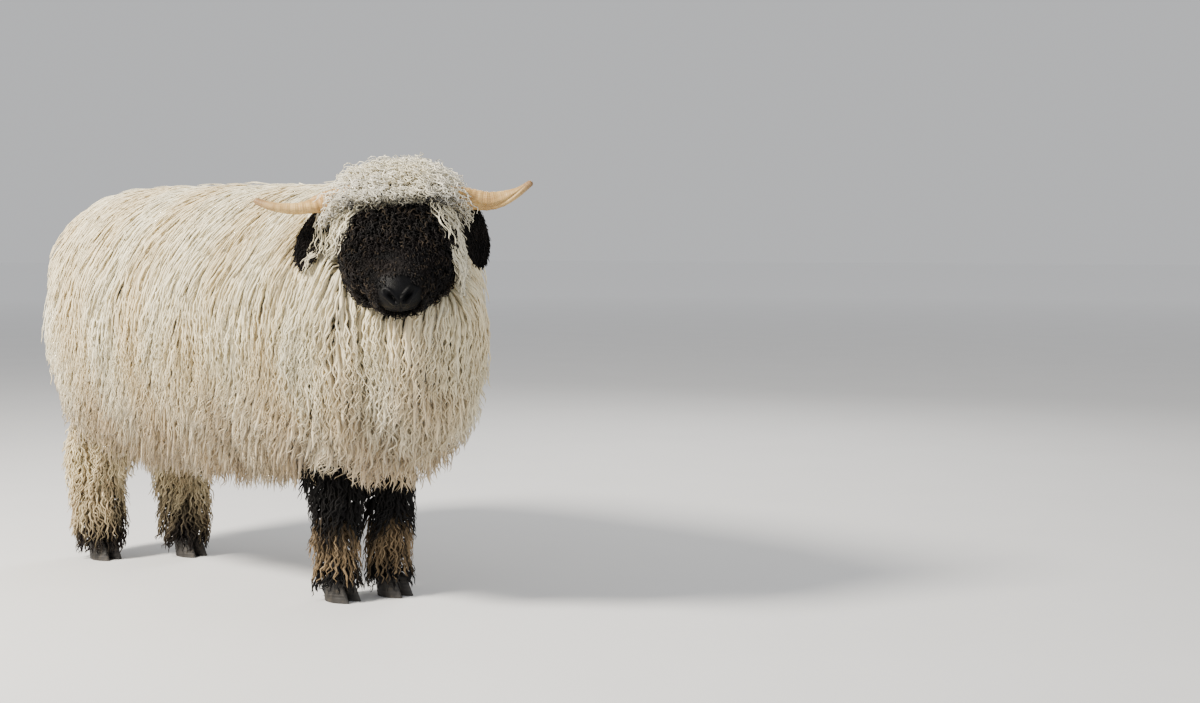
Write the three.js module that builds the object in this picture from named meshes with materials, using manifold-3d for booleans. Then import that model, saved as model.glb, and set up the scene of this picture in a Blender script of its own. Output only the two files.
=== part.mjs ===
// A Valais blacknose ewe in full fleece, life size, standing with its head turned to its right.
// Millimetres. The sheep faces -Y, its left side is towards +X and +Z is up.
import * as THREE from "three";
import { mergeVertices } from "three/addons/utils/BufferGeometryUtils.js";
import Module from "manifold-3d";

const wasm = await Module();
wasm.setup();

const point = (x, y, z) => new THREE.Vector3(x, y, z);
const UP = point(0, 0, 1);
const DOWN = point(0, 0, -1);
const BACK = point(0, 1, 0);
const TURN = 2 * Math.PI;
const LOCK_SIDES = 4;
const CURL_SIDES = 5;

// Driving sizes
const GAP = 0.3;
const BODY = { rumpY: 484, breastY: -400, halfWidth: 238, top: 804, bottom: 308, hem: 205 };
const HEAD = { at: point(-90, -500, 758), turn: -43, nod: 38, tilt: -5.5, halfWidth: 82 };
const EYE = { radius: 13, side: 80, ahead: 64, height: 20 };
const NOSTRIL = { radius: 3.4, ahead: 233, height: -14, side: 15 };
const MOUTH = { front: 239, corner: 168, groove: 2.2, lip: 4.2 };
const EAR = { ahead: 4, height: 10, side: 75, halfWidth: 26 };
const HORN = { ahead: 14, height: 36, halfWidth: 24, halfDepth: 17 };
const KNOT = { depth: 12 };
const TAIL = { top: 670, tip: 300, behind: 6, radius: 36 };
const LEG = { radius: 50, topZ: 372 };
const HOOF = { halfWidth: 29, length: 66, height: 42 };
const FEET = {
  front_right: { x: -50, y: -288, thighY: -268 },
  front_left: { x: 50, y: -330, thighY: -300 },
  hind_right: { x: -80, y: 446, thighY: 398 },
  hind_left: { x: 62, y: 330, thighY: 330 },
};

// Stops of each ear from its root and of each horn from the poll: how far ahead, up and out. A horn
// shows its broad side to the front, and turns it upward between two shares of its length.
const EAR_STOPS = {
  right: [[0, 0, 0], [4, -18, 46], [30, -54, 84], [58, -92, 106]],
  left: [[0, 0, 0], [4, -20, 42], [30, -66, 62], [62, -112, 69]],
};
const HORN_STOPS = {
  right: [[0, -10, 22], [-4, 0, 68], [0, -4, 122], [8, -8, 174], [4, -2, 218], [-8, 6, 250]],
  left: [[0, -16, 22], [-4, -12, 68], [0, -17, 122], [8, -22, 174], [4, -12, 218], [-8, 2, 250]],
};
const HORN_TURN = { right: [0.3, 0.62], left: [0.55, 0.95] };

// The parting of the neck from the torso, and of the head from the neck
const NECK_CUT = { at: point(0, -385, 560), normal: point(0, -0.98, 0.2).normalize() };
const HEAD_CUT = { behind: 50, slant: 35 };

const wordOf = (side) => (side < 0 ? "right" : "left");

// A repeatable stream of numbers from 0 to 1
function seeded(seed) {
  let state = seed;
  return () => {
    state = (state + 0x6d2b79f5) | 0;
    let mixed = Math.imul(state ^ (state >>> 15), 1 | state);
    mixed = (mixed + Math.imul(mixed ^ (mixed >>> 7), 61 | mixed)) ^ mixed;
    return ((mixed ^ (mixed >>> 14)) >>> 0) / 4294967296;
  };
}

// Closed surfaces
function signedVolume(points, faces) {
  let sum = 0;
  for (let f = 0; f < faces.length; f += 3)
    sum += points[faces[f]].dot(points[faces[f + 1]].clone().cross(points[faces[f + 2]]));
  return sum / 6;
}

function closedGeometry(points, faces) {
  if (signedVolume(points, faces) < 0) faces.reverse();
  const geometry = new THREE.BufferGeometry().setFromPoints(points);
  geometry.setIndex(faces);
  return geometry;
}

// Rings of equal count joined along their length, each end fanned to a point or to its own middle
function loft(rings, startPoint, endPoint) {
  const sides = rings[0].length;
  const points = rings.flat();
  const faces = [];
  for (let r = 0; r + 1 < rings.length; r++)
    for (let s = 0; s < sides; s++) {
      const here = r * sides + s;
      const beside = r * sides + ((s + 1) % sides);
      faces.push(here, beside, beside + sides, here, beside + sides, here + sides);
    }
  const middle = (ring) =>
    ring.reduce((sum, p) => sum.add(p), point(0, 0, 0)).divideScalar(sides);
  const last = (rings.length - 1) * sides;
  const start = points.push(startPoint || middle(rings[0])) - 1;
  const end = points.push(endPoint || middle(rings.at(-1))) - 1;
  for (let s = 0; s < sides; s++) {
    const next = (s + 1) % sides;
    faces.push(start, next, s, end, last + s, last + next);
  }
  return closedGeometry(points, faces);
}

function ovalRing(centre, side, up, size, sides, squareness) {
  const ring = [];
  for (let s = 0; s < sides; s++) {
    const angle = (TURN * s) / sides;
    const across = Math.cos(angle);
    const high = Math.sin(angle);
    const bulge = (share) => Math.sign(share) * Math.abs(share) ** (2 / squareness);
    ring.push(
      centre
        .clone()
        .addScaledVector(side, size.wide * bulge(across))
        .addScaledVector(up, (high > 0 ? size.above : size.below) * bulge(high)),
    );
  }
  return ring;
}

// A smooth body through oval stations: each has a centre and its reach to the sides, above and below.
function form(stations, { rings, sides, up, squareness = 2.3, grow = 0 }) {
  const centres = new THREE.CatmullRomCurve3(stations.map((s) => s.centre), false, "centripetal");
  const reaches = new THREE.CatmullRomCurve3(
    stations.map((s) => point(s.wide, s.above, s.below ?? s.above)),
    false,
    "centripetal",
  );
  const ringAt = (share, count) => {
    const along = centres.getPoint(Math.min(share + 1e-3, 1));
    along.sub(centres.getPoint(Math.max(share - 1e-3, 0))).normalize();
    const side = up.clone().cross(along).normalize();
    const reach = reaches.getPoint(share);
    const size = { wide: reach.x + grow, above: reach.y + grow, below: reach.z + grow };
    return ovalRing(centres.getPoint(share), side, along.clone().cross(side), size, count, squareness);
  };
  const shares = Array.from({ length: rings }, (_, r) => r / (rings - 1));
  const geometry = loft(shares.map((share) => ringAt(share, sides)));
  return { geometry, ringAt };
}

// Solids
function solid(geometry) {
  const bare = new THREE.BufferGeometry();
  bare.setAttribute("position", geometry.getAttribute("position"));
  bare.setIndex(geometry.index);
  const merged = mergeVertices(bare, 1e-4);
  return new wasm.Manifold(
    new wasm.Mesh({
      numProp: 3,
      vertProperties: new Float32Array(merged.attributes.position.array),
      triVerts: new Uint32Array(merged.index.array),
    }),
  );
}

const join = (solids) => wasm.Manifold.union(solids);

// The largest closed surface of a solid: this drops loose scraps and fills sealed hollows.
function largest(made) {
  return made.decompose().reduce((best, body) => (body.volume() > best.volume() ? body : best));
}

function geometryOf(made) {
  const mesh = made.getMesh();
  const positions = new Float32Array(mesh.numVert * 3);
  for (let v = 0; v < mesh.numVert; v++)
    positions.set(mesh.vertProperties.subarray(v * mesh.numProp, v * mesh.numProp + 3), v * 3);
  const geometry = new THREE.BufferGeometry();
  geometry.setAttribute("position", new THREE.BufferAttribute(positions, 3));
  geometry.setIndex(new THREE.BufferAttribute(new Uint32Array(mesh.triVerts), 1));
  return geometry;
}

// A block with one face through a point, on the side that the normal points to
function halfSpace(through, normal, size = 3000) {
  const block = new THREE.BoxGeometry(size, size, size).toNonIndexed();
  block.deleteAttribute("normal");
  block.deleteAttribute("uv");
  const turned = new THREE.Matrix4().makeRotationFromQuaternion(
    new THREE.Quaternion().setFromUnitVectors(UP, normal),
  );
  const centre = through.clone().addScaledVector(normal, size / 2);
  block.applyMatrix4(turned.setPosition(centre));
  return solid(mergeVertices(block));
}

function ball(centre, radius, segments = 9) {
  const sphere = new THREE.SphereGeometry(radius, segments, Math.round(segments * 0.6));
  sphere.deleteAttribute("normal");
  sphere.deleteAttribute("uv");
  return solid(mergeVertices(sphere.translate(centre.x, centre.y, centre.z)));
}

// A round bar through points, with a radius for each
function bar(points, radii, sides = 6) {
  const curve = new THREE.CatmullRomCurve3(points);
  const frames = curve.computeFrenetFrames(points.length - 1);
  const rings = points.map((centre, i) => {
    const size = { wide: radii[i], above: radii[i], below: radii[i] };
    return ovalRing(centre, frames.normals[i], frames.binormals[i], size, sides, 2);
  });
  return solid(loft(rings));
}

// A surface that locks grow on: points spread over it, and the nearest point to any place
class Coat {
  constructor(geometry) {
    const position = geometry.getAttribute("position");
    const index = geometry.index.array;
    this.triangles = [];
    for (let f = 0; f < index.length; f += 3) {
      const corners = [0, 1, 2].map((c) => new THREE.Vector3().fromBufferAttribute(position, index[f + c]));
      const triangle = new THREE.Triangle(...corners);
      const area = triangle.getArea();
      const normal = triangle.getNormal(point(0, 0, 0));
      if (area > 1e-3) this.triangles.push({ triangle, area, normal });
    }
  }

  nearest(place) {
    const found = { gap: Infinity };
    const on = point(0, 0, 0);
    for (const { triangle, normal } of this.triangles) {
      triangle.closestPointToPoint(place, on);
      const gap = on.distanceTo(place);
      if (gap < found.gap - 1e-6) Object.assign(found, { gap, at: on.clone(), normal });
    }
    const outward = place.clone().sub(found.at).dot(found.normal) >= 0;
    return { ...found, height: outward ? found.gap : -found.gap };
  }

  // Places at least a local spacing apart, kept where the filter allows
  spread(spacing, random, allowed, tries = 6000) {
    const total = this.triangles.reduce((sum, t) => sum + t.area, 0);
    const kept = [];
    for (let n = 0; n < tries; n++) {
      let pick = random() * total;
      const chosen = this.triangles.find((t) => (pick -= t.area) <= 0) || this.triangles.at(-1);
      const { a, b, c } = chosen.triangle;
      let u = random();
      let v = random();
      if (u + v > 1) [u, v] = [1 - u, 1 - v];
      const root = a.clone().addScaledVector(b.clone().sub(a), u).addScaledVector(c.clone().sub(a), v);
      if (!allowed(root, chosen.normal)) continue;
      const apart = spacing(root);
      if (kept.every((k) => k.root.distanceTo(root) > apart)) kept.push({ root, normal: chosen.normal });
    }
    return kept;
  }
}

// The middle line of a lock: it leaves the surface at a slant, runs along the lie,
// and hangs free where the surface turns away.
function lockLine(coat, { root, normal }, { length, lie, sink, lift, steps }) {
  const heading = (normalHere) => {
    const wanted = lie(root, normalHere);
    const inward = Math.min(0, wanted.dot(normalHere));
    return wanted.clone().addScaledVector(normalHere, -inward).normalize();
  };
  const line = [root.clone().addScaledVector(normal, -sink).addScaledVector(heading(normal), -sink)];
  let place = root.clone();
  let outward = normal;
  for (let s = 1; s <= steps; s++) {
    place = place.clone().addScaledVector(heading(outward), length / steps);
    const near = coat.nearest(place);
    const wantedHeight = lift(near.normal) * (0.35 + (0.65 * s) / steps);
    if (near.height < wantedHeight) place.addScaledVector(near.normal, wantedHeight - near.height);
    outward = near.normal;
    line.push(place);
  }
  return line;
}

// A flat tapered lock about a middle line, facing outward, with its tip closed to a point
function blade(line, outward, { width, thickness, wave, twist, grow }) {
  const rings = [];
  const last = line.length - 1;
  const along = (i) => line[Math.min(i + 1, last)].clone().sub(line[Math.max(i - 1, 0)]).normalize();
  const across = (i) => along(i).cross(outward).normalize();
  for (let i = 0; i < last; i++) {
    const share = i / last;
    const taper = Math.min(1, 0.74 + share) * (1 - share ** 2.8);
    const side = across(i).applyAxisAngle(along(i), twist * share);
    const centre = line[i].clone().addScaledVector(side, wave * width * share * Math.sin(TURN * 0.8 * share));
    const size = {
      wide: (width / 2) * taper + grow,
      above: thickness * 0.62 * Math.max(taper, 0.4) + grow,
      below: thickness * 0.38 * Math.max(taper, 0.4) + grow,
    };
    rings.push(ovalRing(centre, side, side.clone().cross(along(i)), size, LOCK_SIDES, 2));
  }
  const tip = line[last].clone().addScaledVector(along(last), grow * 3);
  return solid(loft(rings, null, tip));
}

// All the locks of one coat, as separate solids
function locks(coat, plan) {
  const { seed, spacing, allowed, width, thickness, length, lie, lift, sink, steps = 4, grow = 0 } = plan;
  const random = seeded(seed);
  const roots = coat.spread(spacing, random, allowed);
  return roots.map((place) => {
    const vary = () => 0.85 + 0.3 * random();
    const liftShare = vary();
    const liftHere = (normal) => lift(normal) * liftShare;
    const size = { length: length(place.root) * vary(), sink, lift: liftHere, steps, lie };
    const shape = {
      width: width * vary(),
      thickness: thickness * vary(),
      wave: 0.7 * (random() - 0.5),
      twist: 0.5 * (random() - 0.5),
      grow,
    };
    const line = lockLine(coat, place, size);
    const outward = coat.nearest(line[Math.ceil(steps / 2)]).normal;
    return blade(line, outward, shape);
  });
}

// Materials, one for each kind of surface
const material = (color, roughness) => new THREE.MeshStandardMaterial({ color, roughness, metalness: 0 });
const FLEECE = material(0xe9e2cf, 0.95);
const LEG_WOOL = material(0xa8987c, 0.95);
const FACE = material(0x1d1a1b, 0.9);
const HORN_SHEATH = material(0xd8ab78, 0.55);
const EYE_BALL = material(0x1a1009, 0.1);
const HOOF_HORN = material(0x24201d, 0.5);

// Torso
function torsoStations() {
  const { rumpY, breastY, halfWidth, top, bottom } = BODY;
  const long = rumpY - breastY;
  const middle = (top + bottom) / 2 + 10;
  const station = (along, width, topDrop, bottomRise) => ({
    centre: point(0, breastY + along * long, middle),
    wide: halfWidth * width,
    above: top - topDrop - middle,
    below: middle - bottom - bottomRise,
  });
  return [
    station(-0.06, 0.8, 20, 36),
    station(0.12, 0.9, 6, 16),
    station(0.38, 1, 2, 2),
    station(0.65, 1.01, 0, 4),
    station(0.85, 0.91, 4, 10),
    station(0.96, 0.74, 27, 34),
    station(1, 0.42, 106, 116),
  ];
}
const torsoForm = (grow = 0, rings = 13, sides = 24) =>
  form(torsoStations(), { rings, sides, up: UP, squareness: 2.25, grow });

// Wool on the body falls from a parting along the back, down and a little backwards.
function bodyLie(root, normal) {
  const aside = Math.sign(root.x || 1) * Math.max(0, normal.z);
  const overRump = THREE.MathUtils.smoothstep(root.y, 280, 430);
  return point(aside * 1.1, 0.22 + 0.5 * overRump * Math.max(0, normal.z), -1).normalize();
}

const nearLeg = (root, margin) =>
  Object.values(FEET).some((foot) => Math.hypot(root.x - foot.x, root.y - foot.thighY) < margin);

function torso() {
  const core = torsoForm();
  const coat = new Coat(core.geometry);
  const isUnder = (normal) => normal.z < -0.75;
  const tailY = BODY.rumpY - 60;
  const free = (root) =>
    root.clone().sub(NECK_CUT.at).dot(NECK_CUT.normal) < -10 &&
    !(root.y > tailY && Math.abs(root.x) < TAIL.radius && root.z < TAIL.top);
  const flank = locks(coat, {
    seed: 15,
    spacing: (root) => (root.z > 735 ? 128 : 103),
    allowed: (root, normal) => free(root) && !isUnder(normal),
    width: 110,
    thickness: 17,
    length: (root) => THREE.MathUtils.clamp(root.z - BODY.hem, 108, root.z > 700 ? 150 : 184),
    lie: bodyLie,
    lift: (normal) => 42 - 20 * Math.max(0, normal.z),
    sink: 16,
  });
  const belly = locks(coat, {
    seed: 12,
    spacing: () => 108,
    allowed: (root, normal) => free(root) && isUnder(normal) && !nearLeg(root, LEG.radius),
    width: 92,
    thickness: 16,
    length: () => 100,
    lie: () => DOWN,
    lift: () => 26,
    sink: 16,
    steps: 3,
  });
  const whole = join([solid(core.geometry), ...flank, ...belly]);
  const legs = Object.keys(FEET).flatMap((name) => [legCore(name, GAP), ...legWool(name, GAP)]);
  return largest(whole.subtract(join([halfSpace(NECK_CUT.at, NECK_CUT.normal), ...legs, tail(GAP)])));
}

// Neck and breast, from rows of x, y, z, reach to the sides, above and below
function neckForm(rows, rings, sides) {
  const stations = rows.map(([x, y, z, wide, above, below]) => {
    return { centre: point(x, y, z), wide, above, below };
  });
  return form(stations, { rings, sides, up: UP, squareness: 2.2 });
}

function breast() {
  const rows = [
    [0, -330, 562, 200, 212, 228],
    [-8, -400, 564, 164, 200, 204],
    [-20, -448, 584, 136, 172, 182],
    [-36, -485, 614, 110, 144, 160],
    [-48, -508, 646, 76, 108, 118],
    [-54, -518, 660, 40, 64, 70],
  ];
  return neckForm(rows, 8, 20);
}

function nape() {
  const rows = [
    [0, -330, 690, 140, 112, 120],
    [-16, -380, 700, 132, 104, 120],
    [-48, -422, 716, 122, 96, 120],
    [-92, -470, 726, 112, 84, 110],
    [-122, -504, 730, 96, 70, 90],
  ];
  return neckForm(rows, 6, 16);
}

function neck() {
  const core = join([solid(breast().geometry), solid(nape().geometry)]);
  const coat = new Coat(geometryOf(core));
  const { at, normal: ahead } = headCut();
  const behindHead = (root) => root.clone().sub(at).dot(ahead) < -12;
  const ruff = locks(coat, {
    seed: 21,
    spacing: () => 76,
    allowed: (root, normal) =>
      root.clone().sub(NECK_CUT.at).dot(NECK_CUT.normal) > 10 && behindHead(root) && normal.z > -0.97,
    width: 80,
    thickness: 14,
    length: (root) => THREE.MathUtils.clamp(root.z - BODY.hem - 10, 108, root.z > 640 ? 140 : 168),
    lie: (root, normal) => {
      const aside = Math.sign(root.x + 40) * Math.max(0, normal.z);
      return point(0.6 * aside, 0.06, -1).normalize();
    },
    lift: (normal) => 35 - 14 * Math.max(0, normal.z),
    sink: 16,
  });
  const whole = join([core, ...ruff]);
  const cutAt = NECK_CUT.at.clone().addScaledVector(NECK_CUT.normal, GAP);
  const behind = halfSpace(cutAt, NECK_CUT.normal.clone().negate());
  const fittings = [1, -1].flatMap((side) => [placed(ear(side, GAP)), placed(horn(side, GAP))]);
  return largest(whole.subtract(join([behind, halfSpace(at, ahead), ...fittings])));
}

// Head: built facing -Y in its own frame, with +Z out of the forehead, then turned and nodded into place
const headMatrix = new THREE.Matrix4().makeRotationFromEuler(
  new THREE.Euler(
    THREE.MathUtils.degToRad(HEAD.nod),
    THREE.MathUtils.degToRad(HEAD.tilt),
    THREE.MathUtils.degToRad(HEAD.turn),
    "ZXY",
  ),
);
headMatrix.setPosition(HEAD.at);

// The slanting face, from the poll down to the throat, where the head sits on the neck
function headCut() {
  const turn = THREE.MathUtils.degToRad(HEAD.turn);
  const slant = THREE.MathUtils.degToRad(HEAD_CUT.slant);
  const heading = point(Math.sin(turn), -Math.cos(turn), 0);
  const at = HEAD.at.clone().addScaledVector(heading, -HEAD_CUT.behind);
  return { at, normal: heading.multiplyScalar(Math.cos(slant)).addScaledVector(UP, Math.sin(slant)) };
}

const inHead = (ahead, height, side = 0) => point(side, -ahead, height);
const placed = (made) => made.transform(headMatrix.elements);

function headStations() {
  const wide = HEAD.halfWidth;
  const station = (ahead, height, width, above, below) => ({
    centre: inHead(ahead, height),
    wide: wide * width,
    above,
    below,
  });
  return [
    station(-92, -98, 0.94, 56, 80),
    station(-34, -42, 1.02, 54, 96),
    station(20, -10, 1.08, 58, 102),
    station(66, -6, 1.13, 58, 108),
    station(112, -12, 1.12, 52, 100),
    station(150, -16, 0.97, 44, 82),
    station(182, -20, 0.7, 37, 58),
    station(210, -23, 0.58, 31, 42),
    station(230, -26, 0.45, 24, 32),
    station(240, -28, 0.28, 15, 20),
    station(244, -29, 0.12, 7, 9),
  ];
}

const headForm = (grow = 0) =>
  form(headStations(), { rings: 14, sides: 18, up: UP, squareness: 2.3, grow });

const eyeAt = (side) => inHead(EYE.ahead, EYE.height, side * EYE.side);

// A place on the face: how far ahead, and the angle round the head from its left side up over the top
function faceSpot(ahead, degrees) {
  const stations = headStations();
  const aheads = stations.map(({ centre }) => -centre.y);
  const after = Math.max(1, aheads.findIndex((a) => a > ahead));
  const part = (ahead - aheads[after - 1]) / (aheads[after] - aheads[after - 1]);
  const share = (after - 1 + part) / (aheads.length - 1);
  return headForm().ringAt(share, 360)[Math.round(degrees)];
}

// The line of the mouth, from one corner round the front to the other
function mouthLine(drop = 0) {
  const stops = [-1, -0.6, -0.25, 0.25, 0.6, 1];
  const setBack = Math.abs(drop) * 0.4;
  return stops.map((t) => {
    const ahead = MOUTH.front - (MOUTH.front - MOUTH.corner) * Math.abs(t) ** 1.5 - setBack;
    const degreesFromChin = 12 + 50 * Math.abs(t) ** 0.8;
    return faceSpot(ahead, 270 + Math.sign(t) * degreesFromChin).add(point(0, 0, drop));
  });
}

function lips() {
  const radii = [0.6, 0.9, 1, 1, 0.9, 0.6].map((share) => share * MOUTH.lip);
  return [MOUTH.lip, -MOUTH.lip].map((drop) => bar(mouthLine(drop), radii, 5));
}

function mouthGroove() {
  const radii = [0.7, 1, 1, 1, 1, 0.7].map((share) => share * MOUTH.groove);
  return bar(mouthLine(), radii, 5);
}

function nostril(side) {
  const { ahead, height, side: aside, radius } = NOSTRIL;
  const stops = [[8, -6, -7], [4, 1, 0], [-4, 3, 7], [-10, -3, 11]];
  const line = stops.map(([front, up, out]) => inHead(ahead + front, height + up, side * (aside + out)));
  return bar(line, [0.8, 1, 1, 0.6].map((share) => share * radius), 5);
}

// Short rounded curls that stand out of the head and droop with its lie
function curl(root, outward, fall, { reach, width, stops, shares, grow = 0 }) {
  const line = stops.map(([out, down], i) =>
    root.clone().addScaledVector(outward, i ? reach * out : out).addScaledVector(fall, reach * down),
  );
  const side = fall.clone().cross(outward).normalize();
  const rings = shares.map((share, i) => {
    const along = line[i + 1].clone().sub(line[Math.max(i - 1, 0)]).normalize();
    const thick = width * 0.38 * share + grow;
    const size = { wide: (width / 2) * share + grow, above: thick, below: thick };
    return ovalRing(line[i], side, along.clone().cross(side), size, CURL_SIDES, 2);
  });
  const [beforeTip, end] = line.slice(-2);
  const tip = end.clone().addScaledVector(end.clone().sub(beforeTip).normalize(), grow);
  return solid(loft(rings, null, tip));
}

// How far out and how far down each stop of a curl lies, as shares of its reach (the root is sunk in mm)
const RINGLET = {
  stops: [[-8, 0], [0.45, 0.1], [0.82, 0.42], [0.84, 0.9], [0.6, 1.15]],
  shares: [0.8, 1, 1.05, 0.8],
};
const TUFT = { stops: [[-7, 0], [0.62, 0.3], [0.86, 0.95], [0.5, 1.5]], shares: [0.9, 1, 0.72] };

function curls(coat, { seed, spacing, allowed, reach, width, fallAt, shape, grow }) {
  const random = seeded(seed);
  return coat.spread(() => spacing, random, allowed, 9000).map(({ root, normal }) => {
    const fall = fallAt(root, normal);
    fall.addScaledVector(normal, -fall.dot(normal)).normalize();
    const size = {
      reach: reach(normal) * (0.85 + 0.3 * random()),
      width: width * (0.88 + 0.24 * random()),
    };
    return curl(root, normal, fall, { ...shape, ...size, grow });
  });
}

const clearOfEyes = (root, margin) => [1, -1].every((side) => root.distanceTo(eyeAt(side)) > margin);

// The cap of wool on the poll and behind the cheeks is a shell on the head, behind a leaning edge.
const CAP_EDGE = { at: inHead(58, 40), back: point(0, 1, 0.42).normalize() };
const behindEdge = (root) => root.clone().sub(CAP_EDGE.at).dot(CAP_EDGE.back);

function topknot() {
  const cap = headForm(KNOT.depth);
  const coat = new Coat(cap.geometry);
  const wool = curls(coat, {
    seed: 31,
    spacing: 38,
    allowed: (root, normal) => {
      const fromNeck = root.clone().applyMatrix4(headMatrix).sub(headCut().at);
      const shown = fromNeck.dot(headCut().normal) > -8;
      return shown && behindEdge(root) > 6 && normal.z > -0.35;
    },
    reach: (normal) => 35 + 2 * THREE.MathUtils.smoothstep(normal.z, 0, 0.8),
    width: 47,
    fallAt: (root, normal) => {
      const high = THREE.MathUtils.smoothstep(normal.z, 0.1, 0.8);
      const aside = THREE.MathUtils.clamp(root.x / 70, -1, 1);
      return point(aside * (0.3 + 0.5 * high), -0.85, -0.6);
    },
    shape: RINGLET,
  });
  const shell = solid(cap.geometry).intersect(halfSpace(CAP_EDGE.at, CAP_EDGE.back));
  const eyes = [1, -1].map((side) => ball(eyeAt(side), EYE.radius * 2.1));
  const cutters = [solid(headForm(GAP).geometry), ...faceFur(GAP), ...eyes, ...fittingsGrown()];
  const shaped = placed(join([shell, ...wool]).subtract(join(cutters)));
  return largest(shaped.subtract(behindHeadCut()));
}

const fittingsGrown = () => [1, -1].flatMap((side) => [ear(side, GAP), horn(side, GAP)]);

function behindHeadCut() {
  const { at, normal } = headCut();
  return halfSpace(at.addScaledVector(normal, GAP), normal.negate());
}

function eyelids(side) {
  const centre = eyeAt(side);
  const forward = inHead(1, 0.05).normalize();
  const rise = inHead(0, 1);
  const out = point(side, 0, 0);
  const lid = (upper) =>
    bar(
      [-1, -0.55, 0, 0.55, 1].map((along) =>
        centre
          .clone()
          .addScaledVector(forward, along * EYE.radius * 0.95)
          .addScaledVector(rise, (upper ? 0.5 : -0.5) * EYE.radius * (1 - along ** 2) + 1)
          .addScaledVector(out, EYE.radius * (0.9 - 0.42 * along ** 2)),
      ),
      [2.4, 3.6, 4, 3.6, 2.4],
      6,
    );
  return [lid(true), lid(false)];
}

function faceFur(grow = 0) {
  return curls(new Coat(headForm().geometry), {
    seed: 33,
    spacing: 39,
    allowed: (root) => {
      const ahead = -root.y;
      const onFace = behindEdge(root) < -12;
      const offMuzzle = ahead < 166 && (Math.abs(root.x) > 34 || ahead < 140);
      const shown = ahead > 40 || root.z > -70;
      return onFace && offMuzzle && shown && clearOfEyes(root, 30);
    },
    reach: (normal) => 15 + 12 * Math.max(0, -normal.z),
    width: 45,
    fallAt: (root) => point(root.x * 0.006, -1, -0.5),
    shape: TUFT,
    grow,
  });
}

function head() {
  const parts = [solid(headForm().geometry), ...faceFur(), ...eyelids(1), ...eyelids(-1), ...lips()];
  const sockets = [1, -1].map((side) => ball(eyeAt(side), EYE.radius + GAP));
  const hollows = [...sockets, nostril(1), nostril(-1), mouthGroove()];
  const shaped = placed(join(parts).subtract(join([...hollows, ...fittingsGrown()])));
  return largest(shaped.subtract(behindHeadCut()));
}

function eye(side) {
  return ball(eyeAt(side), EYE.radius);
}

// Ears leave the head sideways and droop, cupped towards the front. Each is cut clear of its horn.
function ear(side, grow = 0) {
  const root = inHead(EAR.ahead, EAR.height, side * EAR.side);
  const path = new THREE.CatmullRomCurve3(
    EAR_STOPS[wordOf(side)].map(([ahead, up, out]) => root.clone().add(inHead(ahead, up, side * out))),
  );
  const shares = [0, 0.16, 0.34, 0.52, 0.7, 0.86, 0.97];
  const widths = [0.42, 0.6, 0.9, 1, 0.96, 0.74, 0.36];
  const rings = shares.map((share, i) => {
    const along = path.getTangentAt(share);
    const facing = inHead(0.75, 0.65, side * 0.25);
    facing.addScaledVector(along, -facing.dot(along)).normalize();
    const across = along.clone().cross(facing).normalize();
    const half = EAR.halfWidth * widths[i] + grow;
    const cup = half * 0.55 * (1 - 0.5 * share);
    const wall = 4.5 + 5 * (1 - share) ** 3 + grow;
    const centre = path.getPointAt(share);
    const steps = 5;
    const edge = (inner) =>
      Array.from({ length: steps }, (_, k) => {
        const lean = -1 + (2 * k) / (steps - 1);
        const depth = cup * lean ** 2 + (inner ? wall / 2 : -wall / 2) * (1 - 0.35 * lean ** 2);
        return centre.clone().addScaledVector(across, half * lean).addScaledVector(facing, depth);
      });
    return [...edge(false), ...edge(true).reverse()];
  });
  const whole = solid(loft(rings, null, path.getPointAt(1).addScaledVector(path.getTangentAt(1), grow)));
  return grow ? whole : largest(whole.subtract(horn(side, GAP)));
}

// Horns leave the poll sideways, dip, and turn forward and up at the tips
function horn(side, grow = 0) {
  const word = wordOf(side);
  const path = new THREE.CatmullRomCurve3(
    HORN_STOPS[word].map(([ahead, up, out]) => inHead(HORN.ahead + ahead, HORN.height + up, side * out)),
  );
  const count = 13;
  const rings = Array.from({ length: count }, (_, i) => {
    const share = i / (count - 1);
    const along = path.getTangent(share);
    const turned = (Math.PI / 2) * THREE.MathUtils.smoothstep(share, ...HORN_TURN[word]);
    const thin = inHead(0.79, 0.62).multiplyScalar(Math.cos(turned));
    thin.addScaledVector(inHead(-0.62, 0.79), Math.sin(turned));
    thin.addScaledVector(along, -thin.dot(along)).normalize();
    const ridge = share < 0.75 && i % 2 ? 0.8 : 0;
    const depth = HORN.halfDepth * (1 - 0.65 * share ** 1.3) + ridge + grow;
    const wide = HORN.halfWidth * (1 - 0.72 * share ** 1.6) + ridge + grow;
    const size = { wide, above: depth, below: depth };
    return ovalRing(path.getPoint(share), thin.clone().cross(along), thin, size, 8, 2.2);
  });
  const end = path.getPoint(1).addScaledVector(path.getTangent(1), 5 + grow);
  return solid(loft(rings, null, end));
}

// Legs
function legStations(name) {
  const foot = FEET[name];
  const hind = name.startsWith("hind");
  const hock = hind ? 30 : 4;
  const full = LEG.radius * (hind ? 1.14 : 0.86);
  const station = (z, y, wide, deep) => ({ centre: point(foot.x, y, z), wide, above: deep, below: deep });
  return [
    station(LEG.topZ, foot.thighY, LEG.radius * 1.15, LEG.radius * 1.35),
    station(300, foot.thighY + hock * 0.5, full * 1.04, full * 1.2),
    station(225, foot.y + hock * 0.6, full * 0.92, full),
    station(130, foot.y + hock * 0.3, full * 0.76, full * 0.8),
    station(78, foot.y + 4, full * 0.74, full * 0.78),
    station(HOOF.height - 4, foot.y - 2, LEG.radius * 0.66, LEG.radius * 0.72),
  ];
}

const legForm = (name, grow) =>
  form(legStations(name), { rings: 8, sides: 10, up: BACK, squareness: 2, grow });

const legCore = (name, grow = 0) => solid(legForm(name, grow).geometry);

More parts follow.
